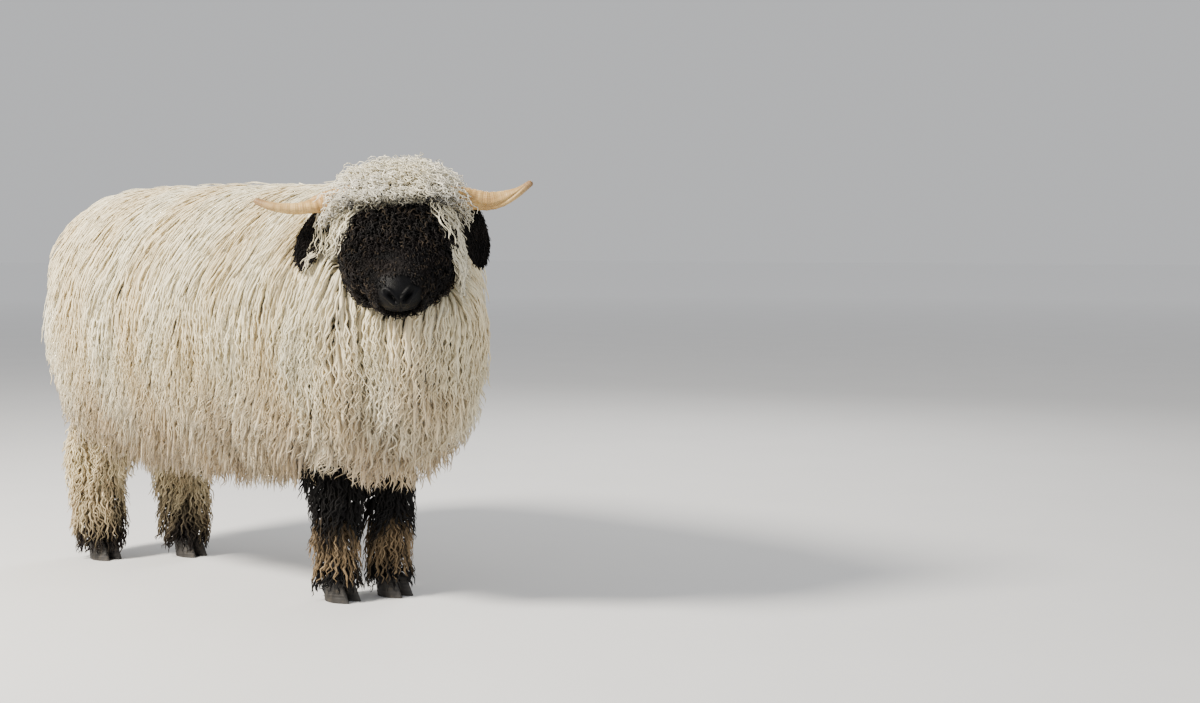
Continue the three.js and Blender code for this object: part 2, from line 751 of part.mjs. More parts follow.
function legWool(name, grow = 0) {
  return locks(new Coat(legForm(name).geometry), {
    seed: 41 + Object.keys(FEET).indexOf(name),
    spacing: () => 80,
    allowed: (root, normal) => root.z < 225 && root.z > 72 && Math.abs(normal.z) < 0.8,
    width: 62,
    thickness: 11,
    length: (root) => Math.min(84, root.z - 26),
    lie: (root, normal) => point(normal.x * 0.1, 0.08 + normal.y * 0.1, -1).normalize(),
    lift: () => 13,
    sink: 11,
    steps: 3,
    grow,
  });
}

function leg(name) {
  const whole = join([legCore(name), ...legWool(name)]);
  const hoofRoom = hoof(name, GAP);
  return largest(whole.subtract(join([solid(torsoForm(GAP).geometry), hoofRoom])));
}

// A cloven hoof: two claws joined under the hair line, flat below
function hoof(name, grow = 0) {
  const foot = FEET[name];
  const toeY = foot.y - 2;
  const claw = (side) => {
    const rings = [0, 1].map((rise) => {
      const z = rise * (HOOF.height + 2 * grow) - grow;
      const halfLength = (HOOF.length / 2) * (1 - 0.26 * rise) + grow;
      const centreY = toeY - 14 * (1 - rise);
      const ring = [];
      const corners = 8;
      for (let c = 0; c < corners; c++) {
        const angle = (TURN * c) / corners;
        const forward = -Math.sin(angle);
        const pinch = forward < 0 ? 1 : 1 - 0.45 * forward ** 2;
        const x = side * (HOOF.halfWidth / 2 + 0.5) + (HOOF.halfWidth / 2 + grow) * Math.cos(angle) * pinch;
        ring.push(point(foot.x + x, centreY - halfLength * forward, z));
      }
      return ring;
    });
    return solid(loft(rings));
  };
  const web = new THREE.BoxGeometry(26 + 2 * grow, 34 + 2 * grow, HOOF.height - 16 + grow);
  web.deleteAttribute("normal");
  web.deleteAttribute("uv");
  web.translate(foot.x, foot.y + 6, 16 + (HOOF.height - 16 + grow) / 2);
  return join([claw(1), claw(-1), solid(mergeVertices(web))]);
}

// Tail
function tailStations() {
  const y = BODY.rumpY + TAIL.behind;
  const station = (z, back, share) => {
    const reach = TAIL.radius * share;
    return { centre: point(0, y + back, z), wide: reach, above: reach };
  };
  return [
    station(TAIL.top, -58, 0.8),
    station(TAIL.top - 46, -14, 0.95),
    station(TAIL.top - 140, 6, 1),
    station((TAIL.top + TAIL.tip) / 2 - 40, 4, 0.86),
    station(TAIL.tip + 40, -2, 0.5),
  ];
}

const tailForm = (grow = 0) =>
  form(tailStations(), { rings: 7, sides: 10, up: BACK, squareness: 2, grow });

function tail(grow = 0) {
  const wool = locks(new Coat(tailForm().geometry), {
    seed: 61,
    spacing: () => 58,
    allowed: (root, normal) => normal.y > -0.3 && root.z < TAIL.top && Math.abs(normal.z) < 0.85,
    width: 48,
    thickness: 11,
    length: () => 92,
    lie: (root, normal) => point(normal.x * 0.2, 0.1, -1).normalize(),
    lift: () => 18,
    sink: 10,
    steps: 3,
    grow,
  });
  const whole = join([solid(tailForm(grow).geometry), ...wool]);
  return grow ? whole : largest(whole.subtract(solid(torsoForm(GAP).geometry)));
}

// The finished group
const sheep = new THREE.Group();

function addNode(name, made, finish) {
  const mesh = new THREE.Mesh(geometryOf(made), finish);
  mesh.name = name;
  sheep.add(mesh);
}

addNode("torso", torso(), FLEECE);
addNode("neck", neck(), FLEECE);
addNode("head", head(), FACE);
addNode("topknot", topknot(), FLEECE);
addNode("tail", tail(), FLEECE);
for (const [word, side] of [["right", -1], ["left", 1]]) {
  addNode(`ear_${word}`, placed(ear(side)), FACE);
  addNode(`horn_${word}`, placed(horn(side)), HORN_SHEATH);
  addNode(`eye_${word}`, placed(eye(side)), EYE_BALL);
}
for (const name of Object.keys(FEET)) {
  addNode(`leg_${name}`, leg(name), LEG_WOOL);
  addNode(`hoof_${name}`, hoof(name), HOOF_HORN);
}

// The origin is on the floor, under the middle of the whole model.
const bounds = new THREE.Box3().setFromObject(sheep);
const middle = bounds.getCenter(point(0, 0, 0));
sheep.position.set(-middle.x, -middle.y, 0);

export default sheep;
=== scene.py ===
"""A Valais blacknose ewe in full fleece, standing with its head turned to its right.

Everything is worked out in the sheep's own frame, in metres: it faces -Y, its left side is
towards +X and +Z is up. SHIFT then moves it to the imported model's origin.
"""
import math

import bpy
import numpy as np
from mathutils import Euler, Matrix, Vector
from mathutils.bvhtree import BVHTree
from mathutils.kdtree import KDTree


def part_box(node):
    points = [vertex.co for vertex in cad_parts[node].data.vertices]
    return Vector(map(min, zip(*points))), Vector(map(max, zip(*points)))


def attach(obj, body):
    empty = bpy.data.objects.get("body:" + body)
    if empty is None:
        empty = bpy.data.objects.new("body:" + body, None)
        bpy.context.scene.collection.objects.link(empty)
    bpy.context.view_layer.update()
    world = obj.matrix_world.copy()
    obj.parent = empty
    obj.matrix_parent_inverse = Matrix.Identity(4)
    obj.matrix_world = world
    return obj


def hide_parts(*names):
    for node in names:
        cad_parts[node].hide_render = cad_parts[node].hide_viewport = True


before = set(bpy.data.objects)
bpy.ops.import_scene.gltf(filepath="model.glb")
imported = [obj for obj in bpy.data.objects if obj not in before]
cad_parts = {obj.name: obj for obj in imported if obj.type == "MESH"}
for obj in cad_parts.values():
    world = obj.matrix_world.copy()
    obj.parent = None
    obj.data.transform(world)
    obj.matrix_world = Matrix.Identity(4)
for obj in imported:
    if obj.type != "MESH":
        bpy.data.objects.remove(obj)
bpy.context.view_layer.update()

UP = np.array([0.0, 0.0, 1.0])
TURN = 2 * math.pi
MM = 0.001

# Driving sizes, the same as the solids', in millimetres and degrees
BODY = dict(rump_y=484, breast_y=-400, half_width=238, top=804, bottom=308, hem=205)
HEAD = dict(at=(-90, -500, 758), turn=-43, nod=38, tilt=-5.5, half_width=82)
EYE = dict(radius=13, side=80, ahead=64, height=20)
NOSTRIL = dict(ahead=233, height=-14, side=15)
MOUTH = dict(front=239, corner=168)
EAR = dict(ahead=4, height=10, side=75, half_width=26)
HORN = dict(ahead=14, height=36, half_width=24, half_depth=17)
TAIL = dict(top=670, tip=300, behind=6, radius=36)
LEG = dict(radius=50, top_z=372)
HOOF = dict(half_width=29, length=66, height=42)
FEET = {
    "front_right": (-50, -288, -268),
    "front_left": (50, -330, -300),
    "hind_right": (-80, 446, 398),
    "hind_left": (62, 330, 330),
}
HEAD_CUT = dict(behind=50, slant=35)

# How far ahead of a foot's place its toes end (mm)
TOE_AHEAD = 49

# How deep the skin lies under the solids (mm)
BODY_WOOL = 30
LIMB_WOOL = 10
FACE_WOOL = 2

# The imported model's origin, from where the front right hoof stands in it
hoof_low, hoof_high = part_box("hoof_front_right")
SHIFT = np.array([
    (hoof_low.x + hoof_high.x) / 2 - FEET["front_right"][0] * MM,
    hoof_low.y - (FEET["front_right"][1] - TOE_AHEAD) * MM,
    0.0,
])


# Smooth forms through oval stations
def smoothstep(low, high, value):
    share = np.clip((value - low) / (high - low), 0, 1)
    return share * share * (3 - 2 * share)


def unit(vectors):
    return vectors / np.maximum(np.linalg.norm(vectors, axis=-1, keepdims=True), 1e-12)


def catmull(points, shares):
    """Points on a centripetal curve through rows of points, at shares from 0 to 1."""
    points = np.asarray(points, float)
    place = np.clip(np.asarray(shares, float), 0, 1) * (len(points) - 1)
    index = np.minimum(place.astype(int), len(points) - 2)
    part = (place - index)[:, None]
    ends = (2 * points[0] - points[1], 2 * points[-1] - points[-2])
    padded = np.vstack([ends[0], points, ends[1]])
    a, b, c, d = (padded[index + k] for k in range(4))

    def apart(p, q):
        return np.maximum(np.linalg.norm(q - p, axis=1) ** 0.5, 1e-4)[:, None]

    before, here, after = apart(a, b), apart(b, c), apart(c, d)
    start = ((b - a) / before - (c - a) / (before + here) + (c - b) / here) * here
    end = ((c - b) / here - (d - b) / (here + after) + (d - c) / after) * here
    cubic = 2 * b - 2 * c + start + end
    square = -3 * b + 3 * c - 2 * start - end
    return ((cubic * part + square) * part + start) * part + b


def oval_rings(centres, side, up, wide, above, below, sides, squareness):
    angle = TURN * np.arange(sides) / sides
    across, high = np.cos(angle), np.sin(angle)
    bulge_across = np.sign(across) * np.abs(across) ** (2 / squareness)
    bulge_high = np.sign(high) * np.abs(high) ** (2 / squareness)
    reach = np.where(high[None] > 0, above[:, None], below[:, None]) * bulge_high[None]
    return (
        centres[:, None]
        + side[:, None] * (wide[:, None] * bulge_across[None])[..., None]
        + up[:, None] * reach[..., None]
    )


def form(stations, rings, sides, up=UP, squareness=2.3, grow=0.0, shares=None):
    """Rings of points through rows of x, y, z, reach to the sides, above and below (mm)."""
    rows = np.asarray(stations, float)
    shares = np.linspace(0, 1, rings) if shares is None else shares
    centres = catmull(rows[:, :3], shares)
    reach = catmull(rows[:, 3:6], shares) + grow
    along = unit(
        catmull(rows[:, :3], np.minimum(shares + 1e-3, 1))
        - catmull(rows[:, :3], np.maximum(shares - 1e-3, 0))
    )
    side = unit(np.cross(up, along))
    over = np.cross(along, side)
    return oval_rings(centres, side, over, reach[:, 0], reach[:, 1], reach[:, 2], sides, squareness)


def closed(rings):
    """Vertices and triangles of a closed surface over rings, with each end fanned to its middle."""
    count, sides, _ = rings.shape
    verts = np.vstack([rings.reshape(-1, 3), rings[0].mean(0), rings[-1].mean(0)])
    r, s = np.meshgrid(np.arange(count - 1), np.arange(sides), indexing="ij")
    here = (r * sides + s).ravel()
    beside = (r * sides + (s + 1) % sides).ravel()
    faces = np.vstack([
        np.stack([here, beside, beside + sides], 1),
        np.stack([here, beside + sides, here + sides], 1),
    ])
    s = np.arange(sides)
    after = (s + 1) % sides
    last = (count - 1) * sides
    start, end = np.full(sides, len(verts) - 2), np.full(sides, len(verts) - 1)
    faces = np.vstack([
        faces,
        np.stack([start, after, s], 1),
        np.stack([end, last + s, last + after], 1),
    ])
    a, b, c = (verts[faces[:, k]] for k in range(3))
    if np.einsum("ij,ij->", a, np.cross(b, c)) < 0:
        faces = faces[:, ::-1]
    return verts, faces


# The sheep's main forms, in millimetres
def torso_stations():
    long = BODY["rump_y"] - BODY["breast_y"]
    middle = (BODY["top"] + BODY["bottom"]) / 2 + 10
    shares = [
        (-0.06, 0.8, 20, 36), (0.12, 0.9, 6, 16), (0.38, 1, 2, 2), (0.65, 1.01, 0, 4),
        (0.85, 0.91, 4, 10), (0.96, 0.74, 27, 34), (1, 0.42, 106, 116),
    ]
    return [
        (0, BODY["breast_y"] + along * long, middle, BODY["half_width"] * width,
         BODY["top"] - drop - middle, middle - BODY["bottom"] - rise)
        for along, width, drop, rise in shares
    ]


BREAST = [
    (0, -330, 562, 200, 212, 228), (-8, -400, 564, 164, 200, 204), (-20, -448, 584, 136, 172, 182),
    (-36, -485, 614, 110, 144, 160), (-48, -508, 646, 76, 108, 118), (-54, -518, 660, 40, 64, 70),
]
NAPE = [
    (0, -330, 690, 140, 112, 120), (-16, -380, 700, 132, 104, 120), (-48, -422, 716, 122, 96, 120),
    (-92, -470, 726, 112, 84, 110), (-122, -504, 730, 96, 70, 90),
]
HEAD_ROWS = [
    (-92, -98, 0.94, 56, 80), (-34, -42, 1.02, 54, 96), (20, -10, 1.08, 58, 102),
    (66, -6, 1.13, 58, 108), (112, -12, 1.12, 52, 100), (150, -16, 0.97, 44, 82),
    (182, -20, 0.7, 37, 58), (210, -23, 0.58, 31, 42), (230, -26, 0.45, 24, 32),
    (240, -28, 0.28, 15, 20), (244, -29, 0.12, 7, 9),
]
HEAD_STATIONS = [
    (0, -ahead, height, HEAD["half_width"] * width, above, below)
    for ahead, height, width, above, below in HEAD_ROWS
]
HEAD_AHEADS = np.array([row[0] for row in HEAD_ROWS], float)


def leg_stations(name):
    x, y, thigh_y = FEET[name]
    hind = name.startswith("hind")
    hock = 30 if hind else 4
    full = LEG["radius"] * (1.14 if hind else 0.86)
    rows = [
        (LEG["top_z"], thigh_y, LEG["radius"] * 1.15, LEG["radius"] * 1.35),
        (300, thigh_y + hock * 0.5, full * 1.04, full * 1.2),
        (225, y + hock * 0.6, full * 0.92, full),
        (130, y + hock * 0.3, full * 0.76, full * 0.8),
        (78, y + 4, full * 0.74, full * 0.78),
        (HOOF["height"] - 4, y - 2, LEG["radius"] * 0.66, LEG["radius"] * 0.72),
    ]
    return [(x, at_y, z, wide, deep, deep) for z, at_y, wide, deep in rows]


def tail_stations():
    y = BODY["rump_y"] + TAIL["behind"]
    top, tip = TAIL["top"], TAIL["tip"]
    rows = [(top, -58, 0.8), (top - 46, -14, 0.95), (top - 140, 6, 1),
            ((top + tip) / 2 - 40, 4, 0.86), (tip + 40, -2, 0.5)]
    return [(0, y + back, z) + (TAIL["radius"] * share,) * 3 for z, back, share in rows]


BACK_AXIS = np.array([0.0, 1.0, 0.0])


def torso_form(grow, rings=40, sides=64):
    return form(torso_stations(), rings, sides, squareness=2.25, grow=grow)


def neck_forms(grow):
    return [form(rows, 30, 48, squareness=2.2, grow=grow) for rows in (BREAST, NAPE)]


def leg_form(name, grow):
    return form(leg_stations(name), 48, 32, up=BACK_AXIS, squareness=2, grow=grow)


def tail_form(grow):
    return form(tail_stations(), 30, 24, up=BACK_AXIS, squareness=2, grow=grow)


# The head's own frame, with -Y ahead and +Z out of the forehead
def in_head(ahead, height, side=0.0):
    return np.array([side, -ahead, height], float)


head_turn = (
    Matrix.Rotation(math.radians(HEAD["turn"]), 3, "Z")
    @ Matrix.Rotation(math.radians(HEAD["nod"]), 3, "X")
    @ Matrix.Rotation(math.radians(HEAD["tilt"]), 3, "Y")
)
HEAD_TURN = np.array(head_turn)
HEAD_AT = np.array(HEAD["at"], float)


def placed_way(ways):
    """Directions in the head's frame, turned with the head."""
    return ways @ HEAD_TURN.T


def placed(points):
    return points @ HEAD_TURN.T + HEAD_AT


def unplaced(points):
    return (points - HEAD_AT) @ HEAD_TURN


def head_share(ahead):
    """The share along the head's stations at a distance ahead."""
    return np.interp(ahead, HEAD_AHEADS, np.linspace(0, 1, len(HEAD_AHEADS)))


def face_spot(ahead, degrees):
    ring = form(HEAD_STATIONS, 1, 360, shares=np.array([float(head_share(ahead))]))[0]
    return ring[int(round(degrees)) % 360]


# The lines of the ears and horns
# Stops of each ear from its root and of each horn from the poll: how far ahead, up and out
EAR_STOPS = {
    1: [(0, 0, 0), (4, -20, 42), (30, -66, 62), (62, -112, 69)],
    -1: [(0, 0, 0), (4, -18, 46), (30, -54, 84), (58, -92, 106)],
}
HORN_STOPS = {
    1: [(0, -16, 22), (-4, -12, 68), (0, -17, 122), (8, -22, 174), (4, -12, 218), (-8, 2, 250)],
    -1: [(0, -10, 22), (-4, 0, 68), (0, -4, 122), (8, -8, 174), (4, -2, 218), (-8, 6, 250)],
}
HORN_TURN = {1: (0.55, 0.95), -1: (0.3, 0.62)}


def ear_line(side, shares):
    path = [in_head(EAR["ahead"] + ahead, EAR["height"] + up, side * (EAR["side"] + out))
            for ahead, up, out in EAR_STOPS[side]]
    return catmull(np.array(path), shares)


def near_ears(points, share):
    """Points (m) within a share of an ear's half width from its middle line."""
    local = unplaced(points / MM)
    near = np.zeros(len(points), bool)
    for side in (1, -1):
        own = (local[:, 0] * side > 60) & (np.linalg.norm(local, axis=1) < 330)
        line = ear_line(side, np.linspace(0.1, 1, 10))
        near[own] |= distance_to_line(local[own], line) < EAR["half_width"] * share
    return near


# Meshes
def triangles_of(obj):
    mesh = obj.data
    mesh.calc_loop_triangles()
    co = np.zeros(len(mesh.vertices) * 3)
    mesh.vertices.foreach_get("co", co)
    tris = np.zeros(len(mesh.loop_triangles) * 3, np.int32)
    mesh.loop_triangles.foreach_get("vertices", tris)
    return co.reshape(-1, 3), tris.reshape(-1, 3)


def in_scene(name, data):
    obj = bpy.data.objects.new(name, data)
    bpy.context.scene.collection.objects.link(obj)
    return obj


def new_object(name, verts, *face_sets):
    """A mesh object with smooth faces, from vertices and arrays of triangles or quads."""
    mesh = bpy.data.meshes.new(name)
    mesh.vertices.add(len(verts))
    mesh.vertices.foreach_set("co", np.asarray(verts, np.float32).ravel())
    loops = np.concatenate([f.ravel() for f in face_sets]).astype(np.int32)
    sizes = np.concatenate([np.full(len(f), f.shape[1]) for f in face_sets])
    starts = np.concatenate([[0], np.cumsum(sizes)[:-1]]).astype(np.int32)
    mesh.loops.add(len(loops))
    mesh.loops.foreach_set("vertex_index", loops)
    mesh.polygons.add(len(starts))
    mesh.polygons.foreach_set("loop_start", starts)
    mesh.polygons.foreach_set("use_smooth", np.ones(len(starts), bool))
    mesh.update(calc_edges=True)
    return in_scene(name, mesh)


def with_modifier(obj, kind, **settings):
    """Applies one modifier and keeps its result as the object's mesh."""
    modifier = obj.modifiers.new(kind.lower(), kind)
    for key, value in settings.items():
        setattr(modifier, key, value)
    graph = bpy.context.evaluated_depsgraph_get()
    result = bpy.data.meshes.new_from_object(obj.evaluated_get(graph))
    obj.modifiers.clear()
    old = obj.data
    obj.data = result
    bpy.data.meshes.remove(old)


def joined(name, shells):
    verts, faces, count = [], [], 0
    for shell_verts, shell_faces in shells:
        verts.append(shell_verts)
        faces.append(shell_faces + count)
        count += len(shell_verts)
    return new_object(name, np.vstack(verts), np.vstack(faces))


def discard(obj):
    bpy.data.objects.remove(obj)


def set_values(obj, name, kind, values):
    attribute = obj.data.attributes.new(name, kind, "POINT")
    field = {"FLOAT": "value", "FLOAT_VECTOR": "vector", "FLOAT_COLOR": "color"}[kind]
    attribute.data.foreach_set(field, np.asarray(values, np.float32).ravel())


def opaque(colours):
    return np.concatenate([colours, np.ones((len(colours), 1))], 1)


def onto_frame(obj, material, slot, *solids):
    """Gives a piece its material and body, and hides the solids that it stands for. Its slot is not used."""
    obj.data.materials.append(material)
    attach(obj, "root")
    if solids:
        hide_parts(*solids)


class Bed:
    """A closed surface that wool grows on and lies over."""

    def __init__(self, verts, faces):
        self.verts, self.faces = verts, faces
        self.tree = BVHTree.FromPolygons(verts.tolist(), faces.tolist())

    def nearest(self, points):
        """The nearest places on the surface, its normals there, and the signed heights over it."""
        at, normals = np.empty_like(points), np.empty_like(points)
        find = self.tree.find_nearest
        for i, p in enumerate(points.tolist()):
            spot, normal, _, _ = find(p)
            at[i], normals[i] = spot, normal
        heights = np.einsum("ij,ij->i", points - at, normals)
        return at, normals, heights

    def spread(self, apart, draw, allowed, tries):
        """Places at least a distance apart, spread evenly where the filter allows."""
        a, b, c = (self.verts[self.faces[:, k]] for k in range(3))
        cross = np.cross(b - a, c - a)
        area = np.linalg.norm(cross, axis=1)
        pick = draw.choice(len(area), tries, p=area / area.sum())
        u, v = draw.random(tries), draw.random(tries)
        flip = u + v > 1
        u[flip], v[flip] = 1 - u[flip], 1 - v[flip]
        roots = a[pick] + (b - a)[pick] * u[:, None] + (c - a)[pick] * v[:, None]
        normals = unit(cross)[pick]
        keep = allowed(roots, normals)
        roots, normals = roots[keep], normals[keep]
        spacing = np.broadcast_to(apart(roots) if callable(apart) else apart, len(roots))
        cell = float(spacing.max()) if len(spacing) else 1.0
        grid, chosen = {}, []
        keys = np.floor(roots / cell).astype(int).tolist()
        near = [(i, j, k) for i in (-1, 0, 1) for j in (-1, 0, 1) for k in (-1, 0, 1)]
        places = roots.tolist()
        for n, (kx, ky, kz) in enumerate(keys):
            x, y, z = places[n]
            limit = spacing[n] ** 2
            clear = True
            for i, j, k in near:
                for mx, my, mz in grid.get((kx + i, ky + j, kz + k), ()):
                    if (x - mx) ** 2 + (y - my) ** 2 + (z - mz) ** 2 < limit:
                        clear = False
                        break
                if not clear:
                    break
            if clear:
                grid.setdefault((kx, ky, kz), []).append((x, y, z))
                chosen.append(n)
        return roots[chosen], normals[chosen]


# Skin
def vertex_normals(verts, faces):
    a, b, c = (verts[faces[:, k]] for k in range(3))
    face_normals = np.cross(b - a, c - a)
    total = np.zeros_like(verts)
    for k in range(3):
        np.add.at(total, faces[:, k], face_normals)
    return unit(total)


def distance_to_line(points, line):
    """How far each point is from a line of stops."""
    best = np.full(len(points), 1e9)
    for a, b in zip(line[:-1], line[1:]):
        ab = b - a
        share = np.clip((points - a) @ ab / max(ab @ ab, 1e-9), 0, 1)
        best = np.minimum(best, np.linalg.norm(points - a - share[:, None] * ab, axis=1))
    return best


def hill(distance, at, spread):
    return np.exp(-(((distance - at) / spread) ** 2))


def mouth_line():
    stops = []
    for t in (-1, -0.6, -0.25, 0.25, 0.6, 1):
        ahead = MOUTH["front"] - (MOUTH["front"] - MOUTH["corner"]) * abs(t) ** 1.5
        from_chin = 12 + 50 * abs(t) ** 0.8
        stops.append(face_spot(ahead, 270 + math.copysign(from_chin, t)))
    return catmull(stops, np.linspace(0, 1, 60))


def nostril_line(side):
    stops = [(8, -6, -7), (4, 1, 0), (-4, 3, 7), (-10, -3, 11)]
    return catmull([
        in_head(NOSTRIL["ahead"] + front, NOSTRIL["height"] + rise, side * (NOSTRIL["side"] + out))
        for front, rise, out in stops
    ], np.linspace(0, 1, 12))


def eye_at(side):
    return in_head(EYE["ahead"], EYE["height"], side * EYE["side"])


def almond(points, side):
    """How far inside the opening of the lids each point is: above 0 inside, below 0 outside (mm)."""
    off = points - eye_at(side)
    along, high = -off[:, 1], off[:, 2] - 1.0
    half = 6.2 * np.clip(1 - (along / 12.5) ** 2, 0, 1)
    lean = high - 0.12 * along
    return np.where(np.abs(along) < 12.5, half - np.abs(lean), -3.0)


def head_surface():
    """The face with its muzzle, nostrils, mouth, brows and lids, in the head's frame (mm)."""
    aheads = np.concatenate([
        np.arange(-92, 40, 2.8), np.arange(40, 88, 1.15), np.arange(88, 150, 2.4),
        np.arange(150, 236, 1.25), np.arange(236, 243.9, 0.55),
    ])
    rings = form(HEAD_STATIONS, 0, 320, grow=-FACE_WOOL, shares=head_share(aheads))
    verts, faces = closed(rings)
    normals = vertex_normals(verts, faces)
    ahead, height, aside = -verts[:, 1], verts[:, 2], np.abs(verts[:, 0])
    push = np.zeros(len(verts))
    # Lips along the mouth and a rim round each nostril, with a groove in the middle of both,
    # and a groove down the middle of the upper lip
    on_muzzle = ahead > 140
    near_mouth = distance_to_line(verts[on_muzzle], mouth_line())
    push[on_muzzle] += 3.0 * hill(near_mouth, 5.5, 3.4) - 6.5 * hill(near_mouth, 0, 1.7)
    for side in (1, -1):
        near = distance_to_line(verts[on_muzzle], nostril_line(side))
        push[on_muzzle] += 2.6 * hill(near, 6.5, 3.2) - 10.0 * hill(near, 0, 3.1)
    philtrum = smoothstep(230, 238, ahead) * smoothstep(-50, -42, height) * smoothstep(-14, -22, height)
    push -= 2.4 * philtrum * hill(aside, 0, 1.8)
    # The bridge of the nose and the brows stand out, and the tear troughs lie deeper
    push += 3.0 * (hill(ahead, 175, 60) * (height > -10)) * hill(aside, 0, 22)
    push += 5.0 * (hill(ahead, 62, 26) * hill(height, 42, 12))
    push -= 3.0 * (hill(ahead, 92, 14) * hill(height, 10, 12))
    verts = verts + normals * push[:, None]
    # Lids lie over the ball, and open in an almond
    for side in (1, -1):
        off = verts - eye_at(side)
        reach = np.linalg.norm(off, axis=1)
        outside = off[:, 0] * side > 1.0
        lid = EYE["radius"] + 1.6 + 1.5 * hill(almond(verts, side), -1.2, 1.8)
        open_share = smoothstep(-0.5, 0.7, almond(verts, side))
        target = np.maximum(reach, lid) * (1 - open_share) + (EYE["radius"] - 3.5) * open_share
        near = outside & (reach < 24)
        verts[near] = eye_at(side) + off[near] * (target / np.maximum(reach, 1e-6))[near, None]
    return verts, faces


def ear_surface(side):
    """A cupped leaf that leaves the head sideways and droops, open to the front (mm)."""
    at = np.array([0, 0.16, 0.34, 0.52, 0.7, 0.86, 0.97, 1.0])
    widths = np.array([0.42, 0.6, 0.9, 1, 0.96, 0.74, 0.36, 0.04])
    shares = 1 - (1 - np.linspace(0, 1, 44)) ** 1.3
    smooth_width = np.interp(shares, at, widths)
    smooth_width = np.convolve(np.pad(smooth_width, 2, mode="edge"), np.ones(5) / 5, "valid")
    centres = ear_line(side, shares)
    alongs = unit(np.gradient(centres, axis=0))
    facing = in_head(0.75, 0.65, side * 0.25)
    leans = np.linspace(-1, 1, 22)
    rings = []
    for share, width, centre, along in zip(shares, smooth_width, centres, alongs):
        front = unit(facing - along * (facing @ along))
        across = np.cross(along, front)
        half = EAR["half_width"] * width
        cup = half * 0.55 * (1 - 0.5 * share)
        wall = 3.2 + 5 * (1 - share) ** 3
        curl = 3.5 * share * math.sin(5 * share)
        edge = []
        for face in (-0.5, 0.5):
            depth = (cup * leans ** 2 + face * wall * (1 - 0.55 * leans ** 2)
                     + curl * leans)
            ring = centre + across * (half * leans)[:, None] + front * depth[:, None]
            edge.append(ring if face < 0 else ring[::-1])
        rings.append(np.vstack(edge))
    return closed(np.array(rings))


def metres(shell):
    verts, faces = shell
    return verts * MM, faces


def make_skin():
    """One closed skin over the body, head, ears, legs and tail."""
    inner = [closed(torso_form(-BODY_WOOL))]
    inner += [closed(rings) for rings in neck_forms(-BODY_WOOL)]
    inner += [closed(leg_form(name, -LIMB_WOOL)) for name in FEET]
    inner.append(closed(tail_form(-LIMB_WOOL)))
    body = joined("skin", [metres(shell) for shell in inner])
    with_modifier(body, "REMESH", mode="VOXEL", voxel_size=0.0085)
    with_modifier(body, "SMOOTH", factor=0.5, iterations=6)
    for verts, faces in (head_surface(), ear_surface(1), ear_surface(-1)):
        part = joined("part", [metres((placed(verts), faces))])
        with_modifier(body, "BOOLEAN", operation="UNION", solver="MANIFOLD", object=part)
        discard(part)
    body.data.polygons.foreach_set("use_smooth", np.ones(len(body.data.polygons), bool))
    return body


# Markings, the same for the skin and the coat
CREAM = np.array([0.86, 0.73, 0.46])
PALE = np.array([0.92, 0.84, 0.61])
WHITE = np.array([0.96, 0.91, 0.76])
STRAW = np.array([0.66, 0.50, 0.30])
GREY = np.array([0.36, 0.34, 0.31])
BLACK = np.array([0.009, 0.0085, 0.0085])
SOOT = np.array([0.016, 0.013, 0.012])
RUSSET = np.array([0.075, 0.032, 0.018])
BROWN = np.array([0.22, 0.155, 0.088])

# The eyes' tones
SCLERA = np.array([0.07, 0.05, 0.04])
IRIS = np.array([0.055, 0.028, 0.010])
IRIS_RIM = np.array([0.016, 0.009, 0.005])
PUPIL = np.array([0.003, 0.003, 0.004])

# The edge of the black face: a slanting plane, set further back low on the right cheek (mm)
RIGHT_CHEEK_BACK = 17
CAP_AT = in_head(58, 40)
CAP_BACK = unit(np.array([0, 1, 0.42]))


def cloud(points, size, seed):
    """Smooth patches from -1 to 1, about a size across (m)."""
    draw = np.random.default_rng(seed)
    total = np.zeros(len(points))
    for _ in range(9):
        wave = unit(draw.normal(size=3)) * TURN / size * draw.uniform(0.6, 1.5)
        total += np.sin(points @ wave + draw.uniform(0, TURN))
    return total / 3.0


def behind_edge(points):
    """How far behind the edge of the black face points in the head's frame are (mm)."""
    right_cheek = smoothstep(-20, -56, points[:, 0]) * smoothstep(12, -18, points[:, 2])
    return (points - CAP_AT) @ CAP_BACK - RIGHT_CHEEK_BACK * right_cheek


def mixed(low, high, share):
    return low + (high - low) * np.clip(share, 0, 1)[:, None]


def body_colour(points):
    """Cream, with straw-coloured and brownish stains towards the hem and the rump, the darkening towards the
    hem partly dirt and partly painted shade (m).
    """
    z = points[:, 2]
    patches = cloud(points, 0.16, 3)
    fine = cloud(points, 0.045, 4)
    # Straw colour: random stains, more at the rump, and a darkening towards the hem that is partly dirt and
    # partly painted shade
    straw_stain_and_shade = smoothstep(0.58, 0.32, z) * 0.80 + 0.12 * patches + 0.10 * fine
    straw_stain_and_shade += 0.30 * smoothstep(0.30, 0.50, points[:, 1]) * smoothstep(0.72, 0.35, z)
    base = mixed(PALE, CREAM, 0.5 + 0.5 * patches)
    # Brown towards the hem, more at the rump: partly dirt, partly painted shade
    brown_soil_and_shade = smoothstep(0.50, 0.33, z) * (0.16 + 0.20 * fine + 0.16 * smoothstep(0.0, 0.4, points[:, 1]))
    return mixed(mixed(base, STRAW, straw_stain_and_shade), BROWN, brown_soil_and_shade)


